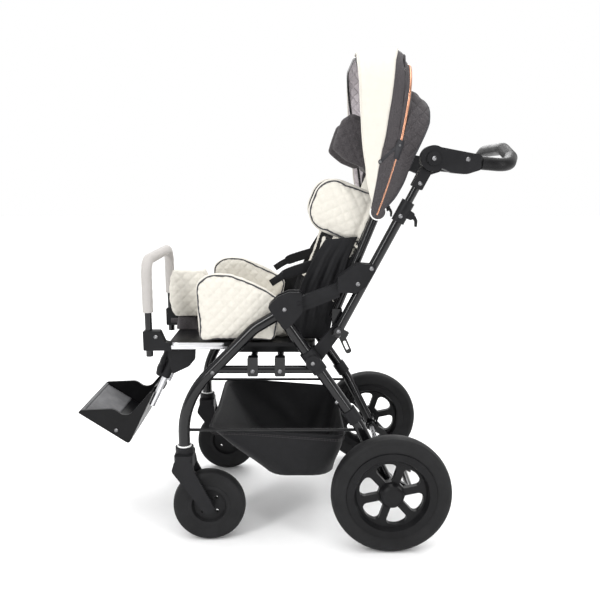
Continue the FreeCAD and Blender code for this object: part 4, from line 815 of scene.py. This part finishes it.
def canopy_sheet(name, front, rear, columns, puff=0.0, dip=0.0, crowns=None):
    """One panel of the canopy, a curved sheet between two edge lines, with its flat size and area."""
    rows, width = arch_rows(), columns + 1
    crowns = crowns or ((0, front[-1][0]), (1, rear[-1][0]))
    verts = []
    for kind, share, side in rows:
        for i in range(width):
            w = i / columns
            crown = float(np.interp(w, *zip(*crowns))) * MM
            swell_out = puff * math.sin(math.pi * w) - dip
            swell_out += CLOTH_RIPPLE * math.sin(9 * w + 31 * share + 2 * side)
            out, y = arch_point(kind, share, crown, CANOPY_TIP, side, swell_out)
            verts.append(canopy_at(front, out, y).lerp(canopy_at(rear, out, y), w))
    made, area = cloth_object(name, verts, grid_faces(len(rows), width))
    edges = (verts[::width], verts[columns::width])
    longest = max(sum((b - a).length for a, b in zip(edge, edge[1:])) for edge in edges)
    return made, (area / longest, longest), area


def canopy_edge(name, line, radius, out_from, body, finish, lift_out=0.0, beside=None):
    """A tube that follows one edge line of the canopy all the way over."""
    points = []
    for kind, share, side in arch_rows():
        out, y = arch_point(kind, share, line[-1][0] * MM, out_from, side, lift_out, beside)
        points.append(canopy_at(line, out, y))
    return dress(curve_tube(name, points, radius), finish, body)


def canopy_panel(form, finish, body, bow, replaces=(), slot="fabric_grey", blend=None, **shape):
    """A dressed panel on one body, or a loose one with its placement baked in."""
    made, flat, area = canopy_sheet(*form, **shape)
    dress(made, finish, body, replaces)
    if blend:
        blend_canopy(made, *blend)


def canopy():
    front_bow, middle_bow = "canopy_front_bow", "canopy_middle_bow"
    canopy_panel(("visor_cloth", VISOR_FRONT, VISOR_REAR, 12), "Cream cloth", "canopy_front", front_bow,
                 ["canopy_visor"], "fabric_cream", puff=0.004)
    canopy_panel(("visor_lining", inset_line(VISOR_FRONT, 0.3), VISOR_REAR, 12), "Lining quilt",
                 "canopy_front", front_bow, dip=0.003)
    pivot = joint_point("canopy_open")
    lean = math.radians(FOLD_LEAN)
    up_fold = (pivot, pivot + Vector((math.sin(lean), 0, math.cos(lean))))
    canopy_panel(("canopy_fold_cloth", inset_line(VISOR_REAR, -1.5), FOLD_REAR, 28), "Heather cloth", None,
                 middle_bow, ["canopy_middle_panel"], blend=("canopy_front", "canopy_middle", *up_fold),
                 puff=0.002, dip=0.0022)
    canopy_panel(("canopy_strip_cloth", STRIP_FRONT, BOW_LINE, 8), "Heather cloth", "canopy_middle",
                 middle_bow, puff=0.002, crowns=STRIP_CROWNS)
    split = [canopy_at(BOW_LINE, out, 0).lerp(canopy_at(VALLEY, out, 0), 0.5) for out in VALLEY_SPLIT]
    canopy_panel(("canopy_valley_cloth", inset_line(BOW_LINE, -3), inset_line(VALLEY, 4), 28),
                 "Heather cloth", None, middle_bow, blend=("canopy_middle", "backrest", *split),
                 puff=-0.002, dip=0.002, crowns=VALLEY_CROWNS)
    canopy_panel(("canopy_rear_cloth", VALLEY, REAR_EDGE, 12), "Heather quilt", "backrest", "backrest_frame",
                 ["canopy_rear_panel"], puff=0.006)
    canopy_edge("copper_hoop", BOW_LINE, 0.0036, -8 * MM, "canopy_middle", "Copper hoop", lift_out=0.0048,
                beside=-0.0006)
    canopy_edge("visor_binding", VISOR_FRONT, 0.0019, CANOPY_TIP, "canopy_front", "Cream cloth")
    canopy_edge("rear_binding", REAR_EDGE, 0.0022, CANOPY_TIP, "backrest", "Dark piping")
    for side_name, side in SIDES:
        canopy_joint(side_name, side)


def inset_line(line, turn):
    """An edge line set back a little from another."""
    return tuple((out, angle + turn) for out, angle in line)


def blend_canopy(made, first, second, low, high):
    """Bakes the placement of a fold of the canopy into its mesh."""
    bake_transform(made)


def disc(name, centre, radius, side, near, far, sides=32, inset=0.0012):
    """A round plate across the stroller with softened rims."""
    low, high = sorted((side * near, side * far))
    rings = ((radius - inset, low), (radius, low + inset), (radius, high - inset), (radius - inset, high))
    turns = [2 * math.pi * i / sides for i in range(sides)]
    verts = [(centre.x + ring * math.cos(turn), y, centre.z + ring * math.sin(turn))
             for ring, y in rings for turn in turns]
    return mesh_object(name, verts, capped_faces(len(rings), sides), smooth=False)


def plate(name, outline, side, near, far):
    """A flat plate with a side-view outline."""
    verts = [(p.x, side * y, p.z) for y in (near, far) for p in outline]
    return mesh_object(name, verts, capped_faces(2, len(outline)), smooth=False)


def canopy_joint(side_name, side):
    """Cloth boot at the pivot, and the elbow and stay on the hoop."""
    # The canopy clips take a lighter charcoal: partly their own dark grey, partly painted light.
    def clip(made, finish="Clip plastic with painted light"):
        dress(made, finish, "canopy_middle")

    pivot = joint_point("canopy_open")
    tip = [pivot + Vector((BOOT_R * math.cos(a), 0, BOOT_R * math.sin(a)))
           for a in np.linspace(*(math.radians(turn) for turn in BOOT_TURN), 30)]
    outline = [canopy_at(VISOR_REAR, out, 0) for out in BOOT_OUT] + tip
    outline += [canopy_at(REAR_EDGE, out, 0) for out in reversed(BOOT_OUT)]
    dress(plate("canopy_boot_" + side_name, outline, side, *BOOT_Y), "Heather cloth", "backrest")
    rim = [Vector((p.x, side * BOOT_Y[1], p.z)) for p in tip]
    dress(ribbon("boot_binding_" + side_name, rim, (0, 1, 0), *BOOT_BINDING), "White trim", "backrest")
    elbow = canopy_at(BOW_LINE, ELBOW_OUT, side * ELBOW_Y)
    clip(disc("hoop_elbow_" + side_name, elbow, ELBOW_R, side, ELBOW_INNER_Y, CLIP_Y))
    low, high = (canopy_at(BOW_LINE, out, side * SLEEVE_Y) for out in SLEEVE_OUT)
    clip(ribbon("hoop_sleeve_" + side_name, [low, (low + high) / 2, high], (1, 0, -0.3), *SLEEVE_SIZE))
    knee = canopy_at(VISOR_REAR, STAY_OUT, side * STAY_Y)
    stay = [elbow, (elbow + knee) / 2 + Vector(STAY_BOW), knee]
    clip(ribbon("hoop_stay_" + side_name, stay, (0.6, 0, -0.8), *STAY_SIZE))
    clip(disc("stay_end_" + side_name, knee, STAY_END_R, side, STAY_END_INNER_Y, CLIP_Y))
    for label, place in (("elbow", elbow), ("stay", knee)):
        clip(disc(f"{label}_screw_{side_name}", place, CLIP_SCREW_R, side, CLIP_SCREW_Y - 0.001,
                  CLIP_SCREW_Y + 0.0014, sides=20, inset=0.0007), "Screw steel")


# Basket

def basket_level(share, count):
    """One loop of the basket's wall, from its hem (0) to its foot (1), and its height."""
    low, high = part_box("basket")
    foot_x, foot_half = BASKET_FOOT
    top_x, top_half = (low.x + 0.002, high.x - 0.002), high.y - 0.0015
    x_low, x_high = (a + (b - a) * share for a, b in zip(top_x, foot_x))
    half = top_half + (foot_half - top_half) * share
    corner = 0.026 + 0.03 * share
    corners = [(x_low, -half), (x_high, -half), (x_high, half), (x_low, half)]
    loop = []
    for i, (x, y) in enumerate(corners):
        x += corner if i in (0, 3) else -corner
        y += corner if i < 2 else -corner
        start = math.pi * (1 + 0.5 * i)
        for k in range(count):
            turn = start + k / (count - 1) * math.pi / 2
            loop.append((x + corner * math.cos(turn), y + corner * math.sin(turn)))
    return loop, low.z - 0.006 + (high.z - low.z + 0.005) * (1 - share)


def basket_sag(at, away, share):
    """How far the hem hangs between its corners and towards the rear."""
    middle = math.cos(math.pi * min(1, abs(at[1]) / 0.2) / 2)
    sag = -0.012 * abs(away[0]) ** 4 * (1 - share) ** 2 * middle
    return sag - 0.020 * (1 - share) * max(0.0, (at[0] + 0.12) / 0.26)


def basket():
    levels, corner_steps, run_steps, rings = 18, 6, 14, 6
    verts = []
    for level in range(levels + 1):
        share = level / levels
        loop, z = basket_level(share, corner_steps)
        dense = []
        for i, here in enumerate(np.array(loop)):
            after = np.array(loop[(i + 1) % len(loop)])
            steps = run_steps if (i + 1) % corner_steps == 0 else 1
            dense += [here + (after - here) * k / steps for k in range(steps)]
        count = len(dense)
        centre = np.mean(dense, axis=0)
        for i, at in enumerate(dense):
            turn = 2 * math.pi * i / count
            away = (at - centre) / np.linalg.norm(at - centre)
            belly = 0.006 * math.sin(math.pi * share) * (0.4 + 0.6 * math.sin(7 * turn + 3 * share) ** 2)
            crease = 0.0048 * math.sin(11 * turn + 2.5 * share) * math.sin(math.pi * share) * share
            wave = 0.003 * math.sin(5 * turn) * share * (1 - share)
            verts.append((*(at + away * (belly * 0.6 + crease)), z + basket_sag(at, away, share) + wave))
    foot = np.array(verts[levels * count:])
    middle = np.mean(foot, axis=0)
    for ring in range(1, rings):
        share = 1 - ring / rings
        drop = np.array((0, 0, 0.0012 * (1 - share)))
        verts += [tuple(middle + (p - middle) * share - drop) for p in foot]
    faces = grid_faces(levels + rings, count, closed=True)
    faces.append(tuple(range(len(verts) - count, len(verts))))
    hem = [Vector(v) for v in verts[:count]]
    made, area = cloth_object("basket_cloth", verts, faces, offset=-1.0)
    dress(made, "Bag nylon", "chassis", ["basket"])
    dress(curve_tube("basket_hem", hem, 0.0022, closed=True), "Strap webbing", "chassis")
    for depth, label in ((0.010, "upper"), (0.014, "lower")):
        line = [p + Vector((0, 0, -depth)) + (p - Vector((0, 0, p.z))).normalized() * -0.0004 for p in hem]
        stitches("basket_stitch_" + label, line, "Grey thread", "chassis", closed=True)


# Bumper sleeve, straps and small trim

def bumper_sleeve():
    low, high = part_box("bumper_foam")
    radius = (high.x - low.x) / 2
    x, y, top = (low.x + high.x) / 2, high.y - radius, high.z - radius
    path = bent_path([(x, -y, low.z), (x, -y, top), (x, y, top), (x, y, low.z)], 0.038, 14)
    dense = []
    for a, b in zip(path, path[1:]):
        steps = max(1, int((b - a).length / 0.006))
        dense += [a.lerp(b, k / steps) for k in range(steps)]
    made = curve_tube("bumper_sleeve", dense + [path[-1]], radius, sides=10)
    points, normals = points_of(made), normals_of(made)
    ripple = 0.0004 * np.sin(points[:, 2] * 260) * np.sin(points[:, 1] * 170 + 1)
    put_points(made, points + normals * ripple[:, None])
    dress(made, "Foam sleeve", "bumper", ["bumper_foam"])


def lap_strap(side_name, side):
    """Padded hip belt from the back, lying on the rear end of the side guard."""
    path = [Vector((x, side * y, z)) for x, y, z in HIP_LINE]
    pad = ribbon("hip_pad_" + side_name, path, HIP_ACROSS, 0.027, 0.010)
    dress(subdivide(pad, 2), "Strap padding", "backrest")
    tail = [path[-1] + Vector(step) for step in HIP_TAIL]
    dress(ribbon("hip_web_" + side_name, tail, HIP_ACROSS, 0.018, 0.0022), "Strap webbing", "backrest")


def back_flap(side_name, side):
    """Loose black cloth from the side of the back down to the seat, gathered in lengthwise folds."""
    rows, columns = 40, 34
    knots = range(len(FLAP_REAR))
    verts = []
    for r in range(rows + 1):
        share = r / rows * knots[-1]
        a, b = ([np.interp(share, knots, column) for column in zip(*line)]
                for line in (FLAP_FRONT, FLAP_REAR))
        for c in range(columns + 1):
            w = c / columns
            fold = math.sin(w * 19 + 1.4 * math.sin(share * 1.3)) + 0.4 * math.sin(w * 43 + share)
            depth = FLAP_Y + 0.0024 * fold * math.sin(math.pi * min(1, max(0.06, r / rows)))
            verts.append(Vector((a[0] + (b[0] - a[0]) * w, side * depth, a[1] + (b[1] - a[1]) * w)))
    made, area = cloth_object("back_flap_" + side_name, verts, grid_faces(rows + 1, columns + 1))
    dress(made, "Back cloth", "backrest")


def screws():
    """Screw and rivet heads, one group for each body."""
    for body, rows in SCREWS.items():
        name = "screws_" + body
        verts, facing = [], []
        for found, x, z in rows:
            for side_name, side in SIDES:
                sided = found if found in frame["nodes"] else found + "_" + side_name
                verts.append(on_surface(sided, x * MM, z * MM, side))
                facing.append((0, side, 0))
        mesh = bpy.data.meshes.new(name)
        mesh.from_pydata(verts, [], [])
        mesh.attributes.new("facing", "FLOAT_VECTOR", "POINT").data.foreach_set("vector", np.ravel(facing))
        made = run_tree(new_object(name, mesh), *TREES["screw"], "Screw steel", Radius=sizes().screw,
                        Height=SCREW_HEIGHT)
        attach(made, body)


def calf_pad():
    pad = soft_pad("calf_panel", "calf_cushion", cap=0.004)
    channels(pad, (0.45, 0, 0.9), 0.024, 0.002, (-0.9, 0, 0.45))
    dress(pad, "Bag nylon", "legrest", ["calf_panel"])


def seat_edges():
    """Bare metal rail along each front side of the seat board."""
    for side_name, side in SIDES:
        proud = Vector((0, side * 0.001, 0))
        rail = [on_surface("seat_board", x, SEAT_EDGE_Z, side) + proud for x in np.linspace(*SEAT_EDGE_X, 24)]
        dress(ribbon("seat_edge_" + side_name, rail, (0, 0, 1), 0.0092, 0.003), "Bare aluminium", "chassis")


def toe_mat():
    """Grey mat on the toe end of the footplate, and a pale grey tube along its front edge as a painted
    highlight.
    """
    low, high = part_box("footplate")
    half = high.y - 0.0085
    rise = Vector((0, 0, 0.0012))
    run = [met("footplate", (x, 0, high.z + 0.1), (0, 0, -1)) + rise
           for x in np.linspace(*(low.x + reach for reach in TOE_MAT_RUN), 14)]
    dress(ribbon("toe_mat", run, (0, 1, 0), 2 * half, 0.002), "Grey rubber and edge highlight", "foot_tray")
    # Painted highlight: the pale grey tube on the footplate's rounded front edge stands in for the light that
    # edge catches.
    edge_highlight = run[0] + Vector((-0.0035, 0, 0.0005))
    edge = [edge_highlight + Vector((0, y, 0)) for y in np.linspace(-half, half, 12)]
    dress(curve_tube("toe_edge_painted_highlight", edge, 0.0046), "Grey rubber and edge highlight", "foot_tray")


def caster_rings():
    """White plastic ring under each front leg."""
    x = joint_point("caster_left_swivel").x
    for side_name, side in SIDES:
        low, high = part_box("front_leg_" + side_name)
        place = Vector((x, side * abs(low.y + high.y) / 2, low.z + 0.0022))
        ring = [place + Vector((LEG_RING_R * math.cos(a), LEG_RING_R * math.sin(a), 0))
                for a in np.linspace(0, 2 * math.pi, 48)[:-1]]
        dress(curve_tube("leg_ring_" + side_name, ring, 0.0022, closed=True), "White trim", "chassis")


# Finishes of the CAD nodes

def pair(name):
    return tuple(f"{name}_{side_name}" for side_name, side in SIDES)


NODE_FINISHES = {
    "Gloss black paint": (
        *pair("front_leg"), *pair("rear_leg"), *pair("push_tube"), "inner_tubes", "side_braces", "cross_tubes",
        "backrest_frame", "canopy_front_bow", "canopy_middle_bow", "fold_latch", "brake_pedal", "bumper_bar"),
    "Charcoal plastic": (
        *pair("junction_housing"), *pair("upper_housing"), *pair("clamp_lever"), *pair("caster_fork"),
        "rear_collars", "side_links", "height_clamps", "hinge_brackets", "handle_joint_covers",
        "front_brackets", "legrest_frame"),
    "Heather cloth": ("pommel_base",),
    "Tray plastic": ("seat_board", "footplate"),
    "Rim plastic": pair("rear_rim"),
    "Tyre rubber": (*pair("rear_tyre"), *pair("front_wheel")),
    "Grip rubber": ("handle_grip", "handle_tube"),
    "Bare aluminium": ("seat_rails", "footrest_tubes"),
    "Bright steel": ("rear_axle",),
}


def cloth_finishes(c):
    heather = {"threads": 2200, "fleck": 420, "low": 0.15, "high": 0.5}
    cloth_finish("Cream quilt", c.cream, c.cream_shade, threads=2600, fleck=90, low=0.1, high=0.6)
    cloth_finish("Cream cloth", c.cream, c.cream_shade, threads=2600, fleck=70, low=0.12, high=0.75)
    cloth_finish("Heather cloth", c.heather, c.heather_fleck, **heather)
    cloth_finish("Heather quilt", c.heather, c.heather_fleck, **heather, quilted=0.024)
    cloth_finish("Lining quilt", lift(c.heather_fleck, 3.6), lift(c.heather_fleck, 6), threads=2200,
                 fleck=260, low=0.1, high=0.5, quilted=0.02)
    for name, light, threads, fleck, rough in (
            ("Back cloth", 2.4, 3000, 60, 0.6), ("Bag nylon", 2.2, 3400, 40, 0.6),
            ("Strap padding", 2.0, 2200, 90, 0.8), ("Strap webbing", 2.6, 1600, 120, 0.7)):
        cloth_finish(name, c.bag_black, lift(c.bag_black, light), threads, fleck, rough=rough, sheen=0.03)
    cloth_finish("Dark piping", c.piping, lift(c.piping, 1.8), threads=3000, fleck=200)
    cloth_finish("Grey thread", lift(c.heather_fleck, 0.5), c.heather_fleck, threads=5000, fleck=400)
    cloth_finish("Foam sleeve", c.foam, lift(c.foam, 0.86), threads=1900, fleck=700, depth=0.0009, rough=0.95)


def hard_finishes(c):
    for name, base, first, second, rough, values in (
            ("Gloss black paint", c.frame_black, 1, 1.6, (0.1, 0.18), {"depth": 0.00003, "shine": 0.36}),
            ("Charcoal plastic", c.charcoal, 1, 1.35, (0.42, 0.56), {}),
            ("Tray plastic", c.charcoal, 0.45, 0.7, (0.3, 0.45), {"grain": 900}),
            # The housings' charcoal lifted three to four times: the clips' own dark grey, with painted light
            # added so they do not render near black.
            ("Clip plastic with painted light", c.charcoal, 3, 4, (0.35, 0.5), {}),
            # The toe mat's own grey, also used as a painted highlight on the footplate's front edge tube.
            ("Grey rubber and edge highlight", c.toe_grey_and_edge_highlight, 1, 0.7, (0.6, 0.8), {"grain": 600}),
            ("Rim plastic", c.rim, 1, 1.6, (0.32, 0.45), {}),
            ("Tyre rubber", c.tyre, 1, 1.7, (0.5, 0.7), {"grain": 700, "depth": 0.0004}),
            ("Grip rubber", c.tyre, 0.7, 1.2, (0.3, 0.45), {"grain": 1800}),
            ("Bare aluminium", c.silver, 1, 0.85, (0.25, 0.4), {"grain": 500, "metallic": 1.0}),
            ("Screw steel", c.silver, 0.4, 0.25, (0.25, 0.4), {"grain": 800, "metallic": 1.0}),
            ("Bright steel", c.silver, 0.9, 0.7, (0.2, 0.35), {"grain": 800, "metallic": 1.0}),
            ("Copper hoop", c.copper, 1, 0.8, (0.22, 0.35), {"grain": 900, "metallic": 1.0}),
            ("White trim", c.white, 1, 0.9, (0.4, 0.55), {})):
        hard_finish(name, lift(base, first), lift(base, second), rough, **values)
    hard_finish("Pale floor", (0.9, 0.9, 0.9), (0.92, 0.92, 0.92), rough=(0.7, 0.8), grain=30, depth=0.0)


def finishes():
    weave_group()
    quilt_group()
    grain_group()
    cloth_finishes(colours())
    hard_finishes(colours())
    for finish, names in NODE_FINISHES.items():
        for name in names:
            data = frame["nodes"][name].data
            data.materials.clear()
            data.materials.append(MATERIALS[finish])
    TREES["screw"] = screw_tree()
    TREES["stitch"] = stitch_tree()


# Stage

def area_light(name, place, target, size, power):
    light = bpy.data.lights.new(name, "AREA")
    light.shape = "RECTANGLE"
    light.size, light.size_y = size
    light.energy = power
    made = new_object(name, light)
    made.location = place
    made.rotation_euler = (Vector(target) - Vector(place)).to_track_quat("-Z", "Y").to_euler()


def studio_world():
    """A white studio: bright beyond the stroller, dimmer where the lamps and camera stand."""
    world = bpy.data.worlds.new("White studio")
    world.use_nodes = True
    tree = world.node_tree
    split = node(tree, "ShaderNodeSeparateXYZ", {0: node(tree, "ShaderNodeTexCoord").outputs["Generated"]})
    level = span_map(tree, split.outputs["Y"], 0.5, 1.0, -0.5, 0.35)
    background = tree.nodes["Background"]
    background.inputs["Color"].default_value = (1, 1, 1, 1)
    tree.links.new(level, background.inputs["Strength"])
    return world


def stage():
    corners = [(-FLOOR_HALF, -FLOOR_HALF, 0), (FLOOR_HALF, -FLOOR_HALF, 0), (FLOOR_HALF, FLOOR_HALF, 0),
               (-FLOOR_HALF, FLOOR_HALF, 0)]
    floor = mesh_object("pale_floor", corners, [(0, 1, 2, 3)], False)
    dress(floor, "Pale floor")
    scene = bpy.context.scene
    scene.world = studio_world()
    scene.view_settings.view_transform = "Standard"
    for lamp in LAMPS:
        area_light(*lamp)
    sun = bpy.data.lights.new("soft_sun", "SUN")
    sun.energy = SUN_POWER
    sun.angle = math.radians(SUN_ANGLE)
    new_object("soft_sun", sun)
    camera = new_object("photo_camera", bpy.data.cameras.new("photo_camera"))
    camera.data.sensor_width = 36
    camera.data.lens = CAMERA_LENS
    camera.location = CAMERA_PLACE
    camera.rotation_euler = (math.radians(CAMERA_TILT), 0, math.radians(CAMERA_PAN))
    scene.camera = camera


# Operators and panel

class STROLLER_OT_finishes(bpy.types.Operator):
    """Makes every finish and puts it on the rigid pieces"""

    bl_idname = "stroller.finishes"
    bl_label = "Finishes"

    def execute(self, context):
        finishes()
        return {"FINISHED"}


class STROLLER_OT_seat_pads(bpy.types.Operator):
    """Makes the seat cushion, side guards and pommel"""

    bl_idname = "stroller.seat_pads"
    bl_label = "Seat Pads"

    def execute(self, context):
        seat_pads()
        return {"FINISHED"}


class STROLLER_OT_back_pads(bpy.types.Operator):
    """Makes the back cushion, headrest, head wings and trunk supports"""

    bl_idname = "stroller.back_pads"
    bl_label = "Back Pads"

    def execute(self, context):
        back_pads()
        return {"FINISHED"}


class STROLLER_OT_canopy(bpy.types.Operator):
    """Makes the folded canopy with its hoop and bindings"""

    bl_idname = "stroller.canopy"
    bl_label = "Canopy"

    def execute(self, context):
        canopy()
        return {"FINISHED"}


class STROLLER_OT_basket(bpy.types.Operator):
    """Makes the hanging basket with its hem and stitching"""

    bl_idname = "stroller.basket"
    bl_label = "Basket"

    def execute(self, context):
        basket()
        return {"FINISHED"}


class STROLLER_OT_trim(bpy.types.Operator):
    """Makes the bumper sleeve, calf pad, hip straps, screws and rings"""

    bl_idname = "stroller.trim"
    bl_label = "Straps and Trim"

    def execute(self, context):
        bumper_sleeve()
        calf_pad()
        for side_name, side in SIDES:
            lap_strap(side_name, side)
            back_flap(side_name, side)
        screws()
        caster_rings()
        seat_edges()
        toe_mat()
        return {"FINISHED"}


class STROLLER_OT_stage(bpy.types.Operator):
    """Makes the pale floor, soft light and camera"""

    bl_idname = "stroller.stage"
    bl_label = "Stage"

    def execute(self, context):
        stage()
        return {"FINISHED"}


STEPS = (STROLLER_OT_finishes, STROLLER_OT_seat_pads, STROLLER_OT_back_pads, STROLLER_OT_canopy,
         STROLLER_OT_basket, STROLLER_OT_trim, STROLLER_OT_stage)


class STROLLER_PT_panel(bpy.types.Panel):
    """Lists the stroller's steps, sizes and colours"""

    bl_idname = "STROLLER_PT_panel"
    bl_label = "Stroller"
    bl_space_type = "VIEW_3D"
    bl_region_type = "UI"
    bl_category = "Stroller"

    def draw(self, context):
        for step in STEPS:
            self.layout.operator(step.bl_idname)
        for group in (context.scene.stroller_sizes, context.scene.stroller_colours):
            for name in group.__annotations__:
                self.layout.prop(group, name)


CLASSES = (StrollerColours, StrollerSizes, *STEPS, STROLLER_PT_panel)


def register():
    for each in CLASSES:
        bpy.utils.register_class(each)
    bpy.types.Scene.stroller_colours = PointerProperty(type=StrollerColours)
    bpy.types.Scene.stroller_sizes = PointerProperty(type=StrollerSizes)


def unregister():
    del bpy.types.Scene.stroller_sizes
    del bpy.types.Scene.stroller_colours
    for each in reversed(CLASSES):
        bpy.utils.unregister_class(each)


def main():
    register()
    for step in STEPS:
        group, name = step.bl_idname.split(".")
        getattr(getattr(bpy.ops, group), name)()
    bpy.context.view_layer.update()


if __name__ == "__main__":
    main()
